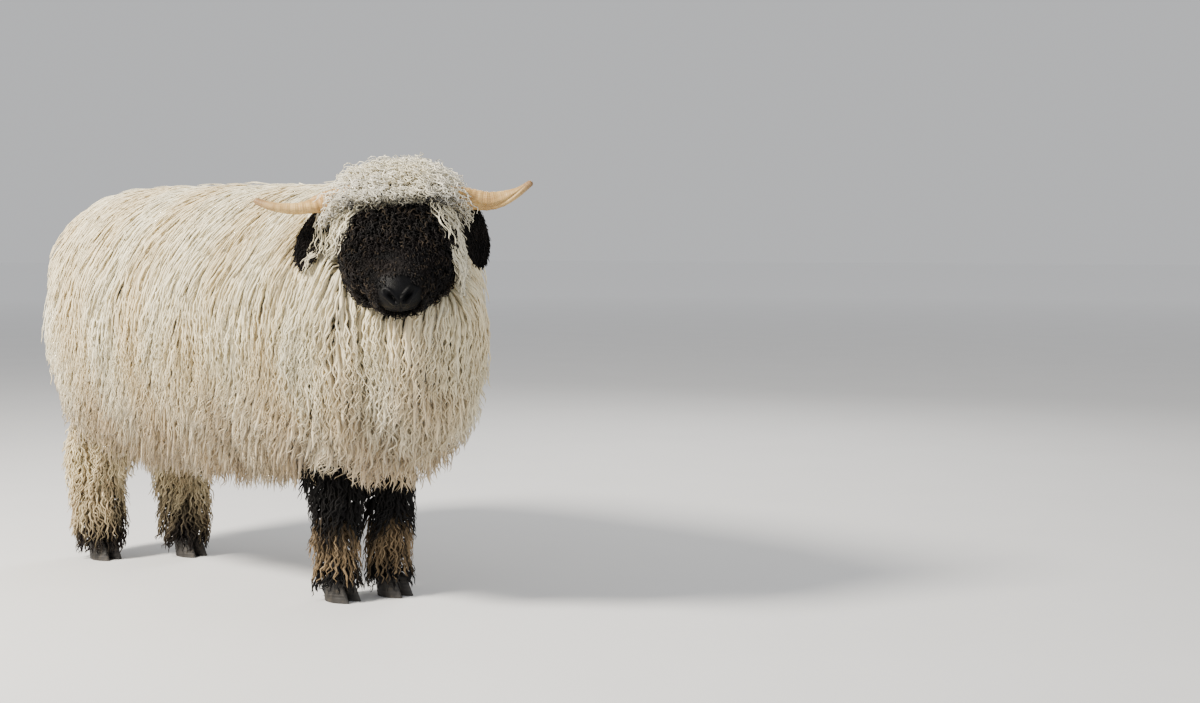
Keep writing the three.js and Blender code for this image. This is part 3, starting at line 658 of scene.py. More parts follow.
def head_colour(points):
    """The black face, with a grey edge to the cream wool behind it (m)."""
    local = unplaced(points / MM)
    ragged = 7 * cloud(points, 0.02, 5) + 4 * cloud(points, 0.008, 6)
    edge = behind_edge(local) + ragged
    wool = mixed(WHITE, PALE, 0.4 + 0.6 * cloud(points, 0.05, 7))
    beside = smoothstep(40, 62, np.abs(local[:, 0]))
    grey = mixed(wool, GREY, smoothstep(12, -2, edge) * (0.25 + 0.5 * beside))
    dark = mixed(BLACK, SOOT, 0.5 + 0.6 * cloud(points, 0.03, 8))
    return mixed(grey, dark, smoothstep(1, -6, edge))


def leg_colour(points, name):
    z = points[:, 2] + 0.012 * cloud(points, 0.05, 9)
    if name.startswith("front"):
        light = smoothstep(0.075, 0.095, z) * smoothstep(0.160, 0.130, z)
        light *= 0.75 + 0.35 * cloud(points, 0.04, 10)
        return mixed(BLACK * 1.4, BROWN * 1.5, light)
    x, y, _ = FEET[name]
    inner = smoothstep(0.012, -0.02, (points[:, 0] - x * MM) * np.sign(x))
    ahead = smoothstep(0.0, -0.03, points[:, 1] - (y + 12) * MM)
    light = smoothstep(0.065, 0.105, z) * (1 - 0.75 * inner * smoothstep(0.2, 0.1, z))
    light *= 1 - 0.6 * ahead * smoothstep(0.16, 0.08, z)
    wool = mixed(STRAW * 0.8, CREAM, 0.2 + 0.6 * smoothstep(0.06, 0.26, z) + 0.3 * cloud(points, 0.05, 11))
    return mixed(SOOT, wool, light)


def ear_colour(points):
    local = unplaced(points / MM)
    red = smoothstep(122, 100, local[:, 0]) * (local[:, 0] > 0) * 0.8
    return mixed(mixed(BLACK, SOOT, 0.5 + 0.5 * cloud(points, 0.03, 12)), RUSSET, red)


# Wool
def blend_matrix(stops, count):
    """Weights that draw a smooth line of count points through a row of stops."""
    weights = np.zeros((count, stops))
    for m, place in enumerate(np.linspace(0, stops - 1, count)):
        i = min(int(place), stops - 2)
        t = place - i
        cubic = (
            -0.5 * t + t ** 2 - 0.5 * t ** 3,
            1 - 2.5 * t ** 2 + 1.5 * t ** 3,
            0.5 * t + 2 * t ** 2 - 1.5 * t ** 3,
            -0.5 * t ** 2 + 0.5 * t ** 3,
        )
        for k, weight in zip(range(i - 1, i + 3), cubic):
            weights[m, min(max(k, 0), stops - 1)] += weight
    return weights


def drape(bed, roots, normals, length, lie, lift, sink, steps):
    """Middle lines that leave the skin at a slant, lie over the bed and hang free past its edge."""
    def heading(points, out):
        wanted = lie(points, out)
        inward = np.minimum(0, np.einsum("ij,ij->i", wanted, out))
        return unit(wanted - out * inward[:, None])

    first = heading(roots, normals)
    line = [roots - normals * sink - first * sink * 0.5, roots + normals * (lift * 0.2)[:, None]]
    outs = [normals, normals]
    place, out = line[1].copy(), normals
    for s in range(1, steps + 1):
        place = place + heading(place, out) * (length / steps)[:, None]
        _, out, height = bed.nearest(place)
        wanted = lift * (0.2 + 0.8 * min(1, 1.5 * s / steps))
        low = height < wanted
        place[low] += out[low] * (wanted - height)[low, None]
        line.append(place.copy())
        outs.append(out)
    return np.stack(line, 1), np.stack(outs, 1)


def lock_arrays(lines, outs, width, thick, rings, wave, size, spin, draw, phase=None, begin=0.12):
    """Rings of three points along each lock, with its waves: (locks, rings, 3, xyz) and the tips."""
    weights = blend_matrix(lines.shape[1], rings + 1)
    centre = np.einsum("mk,nkd->nmd", weights, lines)
    out = unit(np.einsum("mk,nkd->nmd", weights, outs))
    along = unit(np.gradient(centre, axis=1))
    side = unit(np.cross(along, out))
    out = np.cross(side, along)
    step = np.linalg.norm(np.diff(centre, axis=1), axis=2)
    arc = np.concatenate([np.zeros((len(lines), 1)), np.cumsum(step, axis=1)], axis=1)
    share = np.linspace(0, 1, rings + 1)[None]
    spin = np.broadcast_to(spin, len(lines))
    phase = draw.uniform(0, TURN, len(lines)) if phase is None else phase
    turn = TURN * arc / wave[:, None] + phase[:, None]
    grown = smoothstep(begin, begin + 0.3, share) * (0.75 + 0.6 * share) * size[:, None]
    centre = centre + side * (grown * np.sin(turn))[..., None]
    centre = centre + out * (grown * spin[:, None] * (0.5 + 0.5 * np.cos(turn)))[..., None]
    along = unit(np.gradient(centre, axis=1))
    side = unit(np.cross(along, out))
    out = np.cross(side, along)
    taper = np.minimum(1, 0.55 + 2.2 * share) * (1 - share ** 2.4) ** 0.8
    wide = 0.5 * width[:, None] * taper
    deep = thick[:, None] * (0.35 + 0.65 * taper)
    corners = [(0.0, 0.62), (-1.0, -0.38), (1.0, -0.38)]
    ring = np.stack([
        centre + side * (wide * a)[..., None] + out * (deep * b)[..., None] for a, b in corners
    ], 2)[:, :-1]
    return ring, centre[:, -1], arc


# Where each part lies on the unwrap (left, low, wide, high), and the height of the barrel's middle (m)
UNWRAP = {"body": (0.02, 0.30, 0.96, 0.68), "head": (0.02, 0.02, 0.34, 0.26),
          "ears": (0.38, 0.02, 0.12, 0.26), "legs": (0.52, 0.02, 0.46, 0.26)}
BARREL_HEIGHT = 0.56


def unwrap(points, part):
    """A place for each point (m) on a flat unwrap of the skin's own shape, by its part."""
    x, y, z = points.T
    if part == "body":
        reach = np.hypot(x, z - BARREL_HEIGHT)
        u = np.arctan2(x, BARREL_HEIGHT - z) / TURN + 0.5
        ends = np.clip(0.24 - reach, 0, 0.24)
        v = (y + ends * smoothstep(0.25, 0.45, y) - ends * smoothstep(-0.25, -0.42, y) + 0.78) / 1.55
    elif part == "legs":
        number = np.where(y < 0, 0, 2) + (x > 0)
        feet = np.array([FEET[k] for k in FEET], float)[:, :2] * MM
        off = points[:, :2] - feet[number]
        u = (number + 0.5 + 0.96 * np.arctan2(off[:, 0], off[:, 1]) / TURN) / 4
        v = z / 0.4
    else:
        local = unplaced(points / MM)
        if part == "head":
            u = np.arctan2(local[:, 0], local[:, 2] + 20) / TURN + 0.5
            middle = np.clip(100 - np.hypot(local[:, 0], local[:, 2]), 0, 100)
            v = (0.26 * 1000 + local[:, 1]) / 400 + middle / 900
        else:
            u = 0.5 + 0.22 * np.sign(local[:, 0]) + (np.abs(local[:, 0]) - 100) / 400
            v = 0.5 - local[:, 1] / 300
    left, low, wide, high = UNWRAP[part]
    return np.stack([left + wide * np.clip(u, 0, 1), low + high * np.clip(v, 0, 1)], 1)


# The size of one lock's patch on the unwrap, and how many triangles a coat piece may have
PATCH = 0.003
PIECE_LIMIT = 190000


def coat_pieces(name, slot, ring, tips, arc, colours, roots, part, shade, material):
    """Closed lock meshes with their colours and unwrap, split into pieces of a limited size."""
    count, rings = ring.shape[:2]
    each = rings * 3 + 1
    grid = np.arange(rings * 3).reshape(rings, 3)
    quads = np.concatenate([
        np.stack([grid[:-1, k], grid[:-1, (k + 1) % 3], grid[1:, (k + 1) % 3], grid[1:, k]], 1)
        for k in range(3)
    ])
    tip = rings * 3
    tris = np.array([[grid[-1, k], grid[-1, (k + 1) % 3], tip] for k in range(3)] + [[2, 1, 0]])
    verts = np.concatenate([ring.reshape(count, -1, 3), tips[:, None]], 1)
    share = np.append(np.repeat(np.linspace(0, 1, rings, endpoint=False), 3), 1.0)
    around = np.append(np.tile([0.5, 0.0, 1.0], rings), 0.5)
    flat = unwrap(roots, part)
    per_piece = PIECE_LIMIT // (len(quads) * 2 + len(tris))
    order = np.argsort(roots[:, 1], kind="stable")
    for number, start in enumerate(range(0, count, per_piece), 1):
        pick = order[start:start + per_piece]
        n = len(pick)
        base = (np.arange(n) * each)[:, None, None]
        obj = new_object(
            f"{name}_{number}",
            verts[pick].reshape(-1, 3) + SHIFT,
            (quads[None] + base).reshape(-1, 4),
            (tris[None] + base).reshape(-1, 3),
        )
        set_values(obj, "tone", "FLOAT_COLOR", np.repeat(opaque(colours[pick]), each, axis=0))
        stretch = np.concatenate([arc[pick][:, :-1].repeat(3, axis=1), arc[pick][:, -1:]], 1)
        across, along, one_shade = (
            np.broadcast_to(values, (n, each)) for values in (around, share, shade[pick][:, None]))
        set_values(obj, "strand", "FLOAT_VECTOR", np.stack([across, stretch, one_shade], 2))
        set_values(obj, "along", "FLOAT", along)
        patch = np.stack([(across - 0.5) * PATCH, (along - 0.5) * PATCH], 2)
        uv = (flat[pick][:, None] + patch).reshape(-1, 2)
        loops = np.zeros(len(obj.data.loops), np.int32)
        obj.data.loops.foreach_get("vertex_index", loops)
        layer = obj.data.uv_layers.new(name="OFBake")
        layer.data.foreach_set("uv", uv[loops].astype(np.float32).ravel())
        onto_frame(obj, material, slot)


# Materials
def grey(value):
    return (value, value, value)


class Nodes:
    """A short way to add and join shader nodes."""

    def __init__(self, name):
        self.material = bpy.data.materials.new(name)
        self.material.use_nodes = True
        self.tree = self.material.node_tree
        self.shader = self.tree.nodes["Principled BSDF"]

    def add(self, kind, **settings):
        node = self.tree.nodes.new(kind)
        for key, value in settings.items():
            if key.startswith("in_"):
                node.inputs[key[3:].replace("_", " ")].default_value = value
            else:
                setattr(node, key, value)
        return node

    def link(self, source, target):
        self.tree.links.new(source, target)

    def set(self, **values):
        for key, value in values.items():
            self.shader.inputs[key.replace("_", " ")].default_value = value

    def value_of(self, name, output="Fac"):
        return self.add("ShaderNodeAttribute", attribute_name=name).outputs[output]

    def math(self, operation, *values):
        node = self.add("ShaderNodeMath", operation=operation)
        for slot, value in enumerate(values):
            if isinstance(value, (int, float)):
                node.inputs[slot].default_value = value
            else:
                self.link(value, node.inputs[slot])
        return node.outputs[0]

    def noise(self, vector, scale, detail=3.0, roughness=0.55):
        node = self.add("ShaderNodeTexNoise", in_Scale=scale, in_Detail=detail, in_Roughness=roughness)
        self.link(vector, node.inputs["Vector"])
        return node.outputs["Fac"]

    def cells(self, vector, scale):
        node = self.add("ShaderNodeTexVoronoi", in_Scale=scale)
        self.link(vector, node.inputs["Vector"])
        return node.outputs["Distance"]

    def scaled(self, vector, scale):
        node = self.add("ShaderNodeVectorMath", operation="MULTIPLY")
        self.link(vector, node.inputs[0])
        node.inputs[1].default_value = scale
        return node.outputs[0]

    def place(self):
        return self.add("ShaderNodeTexCoord").outputs["Object"]

    def ramp(self, value, stops):
        node = self.add("ShaderNodeValToRGB")
        self.link(value, node.inputs["Fac"])
        elements = node.color_ramp.elements
        while len(elements) < len(stops):
            elements.new(0.5)
        for element, (at, colour) in zip(elements, stops):
            element.position = at
            element.color = (*colour, 1.0)
        return node.outputs["Color"]

    def mix(self, share, a, b, blend="MIX"):
        node = self.add("ShaderNodeMix", data_type="RGBA", blend_type=blend)
        if isinstance(share, (int, float)):
            node.inputs["Factor"].default_value = share
        else:
            self.link(share, node.inputs["Factor"])
        for slot, value in ((6, a), (7, b)):
            if isinstance(value, tuple):
                node.inputs[slot].default_value = (*value, 1.0)
            else:
                self.link(value, node.inputs[slot])
        return node.outputs[2]

    def dulled(self, share, colour, value, dark, low, high):
        """A colour, multiplied in part by a ramp of a value from dark at low to white at high."""
        return self.mix(share, colour, self.ramp(value, [(low, dark), (high, grey(1.0))]), "MULTIPLY")

    def bump(self, height, distance, strength, under=None):
        node = self.add("ShaderNodeBump", in_Strength=strength, in_Distance=distance)
        self.link(height, node.inputs["Height"])
        if under is not None:
            self.link(under, node.inputs["Normal"])
        return node.outputs["Normal"]

    def finish(self, colour, normal=None, roughness=None):
        self.link(colour, self.shader.inputs["Base Color"])
        if normal is not None:
            self.link(normal, self.shader.inputs["Normal"])
        if roughness is not None:
            self.link(roughness, self.shader.inputs["Roughness"])
        return self.material


def wool_material(name, spread, roots, gloss, sheen, shine):
    """Locks of fine fibres: painted shade makes them darker at the roots, as dark as roots sets; uneven from
    lock to lock.
    """
    n = Nodes(name)
    strand = n.value_of("strand", "Vector")
    parts = n.add("ShaderNodeSeparateXYZ")
    n.link(strand, parts.inputs[0])
    fibre = n.noise(n.scaled(strand, (4.0, 45.0, 37.0)), 1.0, 4.0, 0.6)
    speck = n.noise(n.place(), 190.0, 2.0)
    per_lock = n.ramp(parts.outputs["Z"], [(0.0, grey(1 - spread)), (1.0, grey(1 + spread * 0.35))])
    colour = n.mix(1.0, n.value_of("tone", "Color"), per_lock, "MULTIPLY")
    colour = n.dulled(0.8, colour, fibre, grey(0.74), 0.3, 0.68)
    # Painted shade: each lock darker towards its root, where the fleece is deep
    colour = n.dulled(1.0, colour, n.value_of("along"), grey(roots), 0.0, 0.45)
    colour = n.dulled(0.25, colour, speck, grey(0.72), 0.35, 0.6)
    n.set(Roughness=gloss, Sheen_Weight=sheen, Sheen_Roughness=0.5, Specular_IOR_Level=shine)
    return n.finish(colour, n.bump(fibre, 0.0009, 0.6))


def skin_material():
    """Short dense wool over the skin, and smooth dark leather round the nose and lips."""
    n = Nodes("skin")
    place = n.place()
    nap = n.noise(place, 420.0, 3.0)
    leather = n.value_of("leather")
    colour = n.dulled(0.7, n.value_of("tone", "Color"), nap, grey(0.55), 0.3, 0.7)
    hide = n.ramp(n.noise(place, 60.0), [(0.35, (0.001, 0.001, 0.001)), (0.7, (0.003, 0.003, 0.004))])
    colour = n.mix(leather, colour, hide)
    woolly = n.bump(n.math("ADD", n.cells(place, 170.0), nap), 0.0022, 0.9)
    smooth = n.bump(n.cells(place, 900.0), 0.0004, 0.8)
    normal = n.add("ShaderNodeMix", data_type="VECTOR")
    n.link(leather, normal.inputs["Factor"])
    n.link(woolly, normal.inputs[4])
    n.link(smooth, normal.inputs[5])
    rough = n.math("SUBTRACT", 0.95, n.math("MULTIPLY", leather, 0.55))
    n.set(Specular_IOR_Level=0.09)
    return n.finish(colour, normal.outputs[1], rough)


def horn_material():
    """Peach-coloured horn with growth rings, lengthwise streaks, and scuffs that show darker."""
    n = Nodes("horn")
    place = n.place()
    strand = n.value_of("strand", "Vector")
    streak = n.noise(n.scaled(strand, (14.0, 5.0, 1.0)), 1.0, 5.0)
    blotch = n.noise(place, 45.0, 4.0)
    rings = n.noise(n.scaled(strand, (0.6, 260.0, 1.0)), 1.0, 3.0)
    colour = n.ramp(n.value_of("along"), [(0.0, (0.45, 0.265, 0.09)), (0.35, (0.54, 0.34, 0.12)),
                                          (0.8, (0.60, 0.42, 0.165)), (1.0, (0.28, 0.17, 0.08))])
    colour = n.dulled(0.75, colour, streak, (0.62, 0.50, 0.42), 0.3, 0.65)
    colour = n.dulled(0.35, colour, rings, (0.80, 0.70, 0.62), 0.35, 0.55)
    colour = n.dulled(0.5, colour, blotch, (0.55, 0.46, 0.38), 0.4, 0.6)
    fine = n.bump(streak, 0.0007, 0.7)
    n.set(Subsurface_Weight=0.05, Subsurface_Radius=(0.006, 0.003, 0.0015), Specular_IOR_Level=0.45)
    rough = n.math("ADD", 0.36, n.math("MULTIPLY", blotch, 0.25))
    return n.finish(colour, n.bump(rings, 0.0008, 0.8, fine), rough)


def hoof_material():
    n = Nodes("hoof")
    place = n.place()
    rings = n.noise(n.scaled(place, (12.0, 12.0, 260.0)), 1.0, 3.0)
    dust = n.noise(place, 75.0, 4.0)
    colour = n.ramp(rings, [(0.3, (0.010, 0.009, 0.008)), (0.7, (0.032, 0.027, 0.023))])
    colour = n.mix(n.ramp(dust, [(0.55, grey(0.0)), (0.8, grey(0.6))]), colour, (0.10, 0.08, 0.055))
    rough = n.math("ADD", 0.42, n.math("MULTIPLY", dust, 0.4))
    return n.finish(colour, n.bump(rings, 0.0009, 0.8), rough)


def eye_material():
    """Wet dark brown with a level slot of a pupil; the tone attribute carries the painting."""
    n = Nodes("eye")
    fibres = n.noise(n.scaled(n.value_of("strand", "Vector"), (60.0, 8.0, 1.0)), 1.0, 3.0)
    colour = n.dulled(0.5, n.value_of("tone", "Color"), fibres, grey(0.55), 0.3, 0.7)
    n.set(Roughness=0.12, Coat_Weight=1.0, Coat_Roughness=0.02, Specular_IOR_Level=0.6)
    return n.finish(colour)


# Coats
def head_cut():
    turn, slant = math.radians(HEAD["turn"]), math.radians(HEAD_CUT["slant"])
    heading = np.array([math.sin(turn), -math.cos(turn), 0])
    at = HEAD_AT - heading * HEAD_CUT["behind"]
    return at * MM, heading * math.cos(slant) + UP * math.sin(slant)


CUT_AT, CUT_NORMAL = head_cut()


def on_head(points):
    """How far in front of the slanting join of head and neck points are (m)."""
    return (points - CUT_AT) @ CUT_NORMAL


# The coats: the seed of the draws, how far apart the roots stand, how often one is tried, how deep they
# sit, and each lock's rings, width, thickness, length of a wave, swing to the sides and curl outwards.
# The fleece and the legs are in metres, topknot, face and ears in millimetres. The cheeks' wisps
# are rooted in millimetres and hang in metres.
FLEECE = dict(seed=101, sink=BODY_WOOL * MM, steps=7, upper_rings=9, lower_rings=15, under_rings=7)
CLUMP = dict(apart=0.0185, tries=50000)
STRAND = dict(apart=0.0101, tries=130000)
UNDER_LOCK = dict(apart=0.0145, tries=70000)
TOPKNOT = dict(seed=102, apart=3.4, tries=42000, sink=8, rings=16, width=3.0, thick=1.9, wave=17.0,
               swing=2.6, curl=1.1)
FACE = dict(seed=103, apart=3.8, tries=30000, sink=3, rings=10, width=3.7, thick=2.1, wave=12.0,
            swing=2.3, curl=1.0, reach=14)
EAR_HAIR = dict(seed=104, apart=3.0, tries=18000, sink=1.2, rings=6, width=2.5, wave=12.0,
                swing=0.5, curl=0.6, reach=2.7)
LEG_WOOL = dict(seed=105, apart=0.0087, tries=12000, sink=LIMB_WOOL * MM, rings=9, width=0.0046,
                wave=0.022, swing=0.0028, curl=0.8, longest=0.056)
CHEEK = dict(seed=106, apart=4.2, tries=14000, sink=0.004, rings=17, width=0.0040, wave=0.027,
             swing=0.0030, curl=0.8, length=0.075)

# How far forward of the black face's edge the wisps hang on the left cheek (mm)
FRINGE = 84


def downward(aside, back):
    return unit(np.stack([aside, back, -np.ones(len(aside))], 1))


def body_lie(points, out):
    """Wool falls from a parting along the back, down and a little backwards."""
    up_share = np.maximum(0, out[:, 2])
    neck = smoothstep(-0.33, -0.42, points[:, 1])
    rump = smoothstep(0.28, 0.43, points[:, 1])
    parting = 0.04 * neck + 0.024 * cloud(points, 0.035, 26)
    aside = np.tanh((points[:, 0] + parting) / 0.03) * up_share * (1.1 - 0.5 * neck)
    lean = (0.22 + 0.5 * rump * up_share) * (1 - neck) + 0.06 * neck
    wander = 0.16 * cloud(points, 0.22, 21) + 0.08 * cloud(points, 0.07, 22)
    return downward(aside, lean + wander)


def bed_of(name, shells, voxel):
    obj = joined(name, shells)
    with_modifier(obj, "REMESH", mode="VOXEL", voxel_size=voxel)
    bed = Bed(*triangles_of(obj))
    discard(obj)
    return bed


def scattered(bed, coat, allowed, draw, density):
    return bed.spread(coat["apart"] / density, draw, allowed, int(coat["tries"] * density ** 2))


def varied(draw, count, low=0.85, high=1.15):
    return draw.uniform(low, high, count)


def gathered(lines, roots, clump_lines, clump_roots, pull):
    """Strands drawn towards the middle line of the lock that they belong to, most at the tips."""
    tree = KDTree(len(clump_roots))
    for k, place in enumerate(clump_roots.tolist()):
        tree.insert(place, k)
    tree.balance()
    mine = np.array([tree.find(place)[1] for place in roots.tolist()])
    share = np.linspace(0, 1, lines.shape[1])[None, :, None] ** 1.3
    return lines + (clump_lines[mine] - lines) * share * pull[:, None, None], mine


def fleece_bed():
    head = closed(form(HEAD_STATIONS, 40, 48))
    shells = [closed(torso_form(0)), (placed(head[0]), head[1])]
    shells += [closed(rings) for rings in neck_forms(0)] + [closed(tail_form(0))]
    return bed_of("bed", [metres(shell) for shell in shells], 0.012)


def body_coat(material, density):
    """Fine crimped strands gathered into locks, over broad flat locks that fill the depth."""
    draw = np.random.default_rng(FLEECE["seed"])
    bed = fleece_bed()

    def allowed(points, normals):
        near_leg = np.zeros(len(points), bool)
        for x, _, thigh_y in FEET.values():
            off = np.hypot(points[:, 0] - x * MM, points[:, 1] - thigh_y * MM)
            near_leg |= (off < 0.05) & (normals[:, 2] < -0.6)
        return (on_head(points) < -0.004) & ~near_leg

    def crossing(lines, share):
        return near_ears(lines[:, 2:].reshape(-1, 3), share).reshape(len(lines), -1).any(axis=1)

    def lines_from(roots, normals, layer):
        z, up_share = roots[:, 2], np.maximum(0, normals[:, 2])
        longest = 0.092 + 0.028 * smoothstep(0.74, 0.60, z)
        length = np.clip(z - BODY["hem"] * MM, 0.095, longest) * varied(draw, len(roots), 0.85, 1.1)
        length *= 1 - 0.22 * smoothstep(0.50, 0.34, z) * smoothstep(-0.2, 0.8, cloud(roots, 0.05, 27))
        lift = (0.034 - 0.020 * up_share) * layer * (1 + 0.22 * cloud(roots, 0.06, 23))
        lift *= 1 - 0.45 * smoothstep(0.10, 0.18, roots[:, 0]) * smoothstep(-0.12, -0.28, roots[:, 1])
        depth = FLEECE["sink"], FLEECE["steps"]
        lines, outs = drape(bed, roots, normals, length, body_lie, lift, *depth)
        under = crossing(lines, 1.2)
        lines[under], outs[under] = drape(bed, roots[under], normals[under], length[under] * 0.8, body_lie,
                                          lift[under] * 0.15, *depth)
        return lines, outs

    clumps, normals = scattered(bed, CLUMP, allowed, draw, density)
    clump_lines, _ = lines_from(clumps, normals, np.full(len(clumps), 0.8))
    clump_phase = 3.2 * cloud(clumps, 0.11, 24) + draw.normal(0, 0.6, len(clumps))
    clump_wave = varied(draw, len(clumps), 0.88, 1.15)
    clump_shade = draw.random(len(clumps))
    for under, coat in ((True, UNDER_LOCK), (False, STRAND)):
        roots, normals = scattered(bed, coat, allowed, draw, density)
        layer = draw.uniform(0.3, 0.6, len(roots)) if under else draw.uniform(0.55, 1.0, len(roots))
        lines, outs = lines_from(roots, normals, layer)
        clear = ~crossing(lines, 0.45)
        roots, lines, outs = roots[clear], lines[clear], outs[clear]
        count = len(roots)
        lines, mine = gathered(lines, roots, clump_lines, clumps,
                               (0.0 if under else 1.0) * varied(draw, count, 0.2, 0.8))
        hang = smoothstep(0.78, 0.62, roots[:, 2])
        curly = smoothstep(0.70, 0.48, roots[:, 2])
        chest = smoothstep(-0.28, -0.42, roots[:, 1])
        rump = smoothstep(0.30, 0.46, roots[:, 1])
        width = (0.0125 if under else 0.0038 + 0.0012 * hang) * varied(draw, count, 0.7, 1.3)
        thick = width * (0.3 if under else 0.6)
        wave = (0.025 + 0.010 * chest) * clump_wave[mine]
        low_chest = chest * smoothstep(0.56, 0.36, roots[:, 2])
        size = 0.0008 + (0.0021 + 0.0014 * chest + 0.0012 * low_chest + 0.0006 * rump) * curly
        size *= varied(draw, count, 0.6, 1.4)
        phase = clump_phase[mine] + draw.normal(0, 0.3, count)
        shade = 0.6 * clump_shade[mine] + 0.4 * draw.random(count)
        colours = body_colour(roots)
        waved = curly > 0.12
        sorts = {"under": np.ones(count, bool)} if under else {"upper": ~waved, "lower": waved}
        for word, own in sorts.items():
            parts = lock_arrays(lines[own], outs[own], width[own], thick[own], FLEECE[f"{word}_rings"],
                                wave[own], size[own] * (0.4 if under else 1), 0.5 + 0.5 * chest[own],
                                draw, phase[own])
            coat_pieces(f"fleece_{word}", "fleece", *parts, colours[own], roots[own], "body", shade[own],
                        material)


def curl_lines(roots, normals, fall, reach, sink, stops):
    """Middle lines that stand out of the surface and droop with the lie, in the same unit."""
    fall = unit(fall - normals * np.einsum("ij,ij->i", fall, normals)[:, None])
    line = [roots - normals * sink]
    for out, down in stops:
        line.append(roots + normals * (reach * out)[:, None] + fall * (reach * down)[:, None])
    side = np.cross(fall, normals)
    outs = []
    for k in range(len(line)):
        ahead = line[min(k + 1, len(line) - 1)] - line[max(k - 1, 0)]
        outs.append(unit(np.cross(side, ahead)))
    outs = np.stack(outs, 1)
    flip = np.einsum("nkd,nd->nk", outs, normals + 0.4 * fall) < 0
    outs[flip] *= -1
    return np.stack(line, 1), outs


def head_bed(grow):
    return Bed(*closed(form(HEAD_STATIONS, 70, 96, grow=grow)))


def from_head(ring, tips, arc):
    """Locks from the head's frame (mm) to the sheep's (m)."""
    return placed(ring) * MM, placed(tips) * MM, arc * MM


def topknot_coat(material, density):
    """A dense dome of fine ringlets over the poll and forehead, with a few that stand free."""
    draw = np.random.default_rng(TOPKNOT["seed"])
    bed = head_bed(4)

    def allowed(points, _):
        return (on_head(placed(points) * MM) > -0.016) & (behind_edge(points) > 1)

    roots, normals = scattered(bed, TOPKNOT, allowed, draw, density)
    count = len(roots)
    high = smoothstep(-0.35, 0.25, normals[:, 2])
    crown = smoothstep(0.0, 0.8, normals[:, 2])
    front = smoothstep(34, 4, behind_edge(roots))
    layer = draw.uniform(0.4, 1.0, count)
    reach = (17 + 21 * high + 5 * crown) * layer
    free = draw.random(count) < 0.05
    reach[free] *= 1.25
    fall = np.stack([
        np.clip(roots[:, 0] / 70, -1, 1) * (0.3 + 0.5 * crown),
        -0.85 + 1.3 * (1 - high),
        -0.6 - 0.5 * (1 - high),
    ], 1) + draw.normal(0, 0.6, (count, 3)) * high[:, None]
    fall[:, 1] -= 0.35 * front * high
    stops = [(0.42, 0.08), (0.8, 0.3), (0.98, 0.62), (0.94, 0.95)]
    lines, outs = curl_lines(roots, normals, fall, reach, TOPKNOT["sink"], stops)
    broad = TOPKNOT["width"] - 0.8 * free + 4.2 * smoothstep(0.65, 0.4, layer)
    width = broad * varied(draw, count, 0.7, 1.25)
    thick = TOPKNOT["thick"] * varied(draw, count, 0.8, 1.2)
    wave = TOPKNOT["wave"] * varied(draw, count, 0.8, 1.25)
    swing = (TOPKNOT["swing"] + 1.5 * high) * varied(draw, count, 0.6, 1.35)
    parts = lock_arrays(lines, outs, width, thick, TOPKNOT["rings"], wave, swing, TOPKNOT["curl"],
                        draw, begin=0.05)
    at = placed(roots) * MM
    coat_pieces("topknot_wool", "fleece", *from_head(*parts), head_colour(at), at, "head",
                draw.random(count), material)


def cheek_coat(material, density):
    """Long pale wisps that hang in front of the ears, from beside the poll down into the ruff."""
    draw = np.random.default_rng(CHEEK["seed"])
    root_bed, bed = head_bed(3), fleece_bed()

    def allowed(points, _):
        beside = (np.abs(points[:, 0]) > 44) & (points[:, 2] < 46) & (points[:, 2] > -62)
        fringe = FRINGE * smoothstep(44, 56, points[:, 0]) * smoothstep(20, -6, points[:, 2])
        edge = behind_edge(points)
        return beside & (edge > -5 - fringe) & (edge < 52)

    roots, normals = scattered(root_bed, CHEEK, allowed, draw, density)
    edge = behind_edge(roots)
    roots, normals = placed(roots) * MM, placed_way(normals)
    count = len(roots)

    def lie(points, out):
        sway = 0.22 * cloud(points, 0.05, 41)
        return downward(out[:, 0] * 0.25 + sway, out[:, 1] * 0.25 - 0.05 - sway)

    length = CHEEK["length"] * varied(draw, count, 0.6, 1.2)
    lift = draw.uniform(0.004, 0.020, count) + 0.008 * smoothstep(-5, -30, edge)
    lines, outs = drape(bed, roots, normals, length, lie, lift, CHEEK["sink"], 6)
    width = CHEEK["width"] * varied(draw, count, 0.6, 1.3)
    parts = lock_arrays(lines, outs, width, width * 0.6, CHEEK["rings"], CHEEK["wave"] * varied(draw, count),
                        CHEEK["swing"] * varied(draw, count, 0.5, 1.5), CHEEK["curl"], draw)
    pale = mixed(GREY, PALE, draw.uniform(0.5, 1.2, count) + 0.25 * smoothstep(-10, 20, edge))
    coat_pieces("cheek_wool", "fleece", *parts, pale, roots, "head", draw.random(count), material)


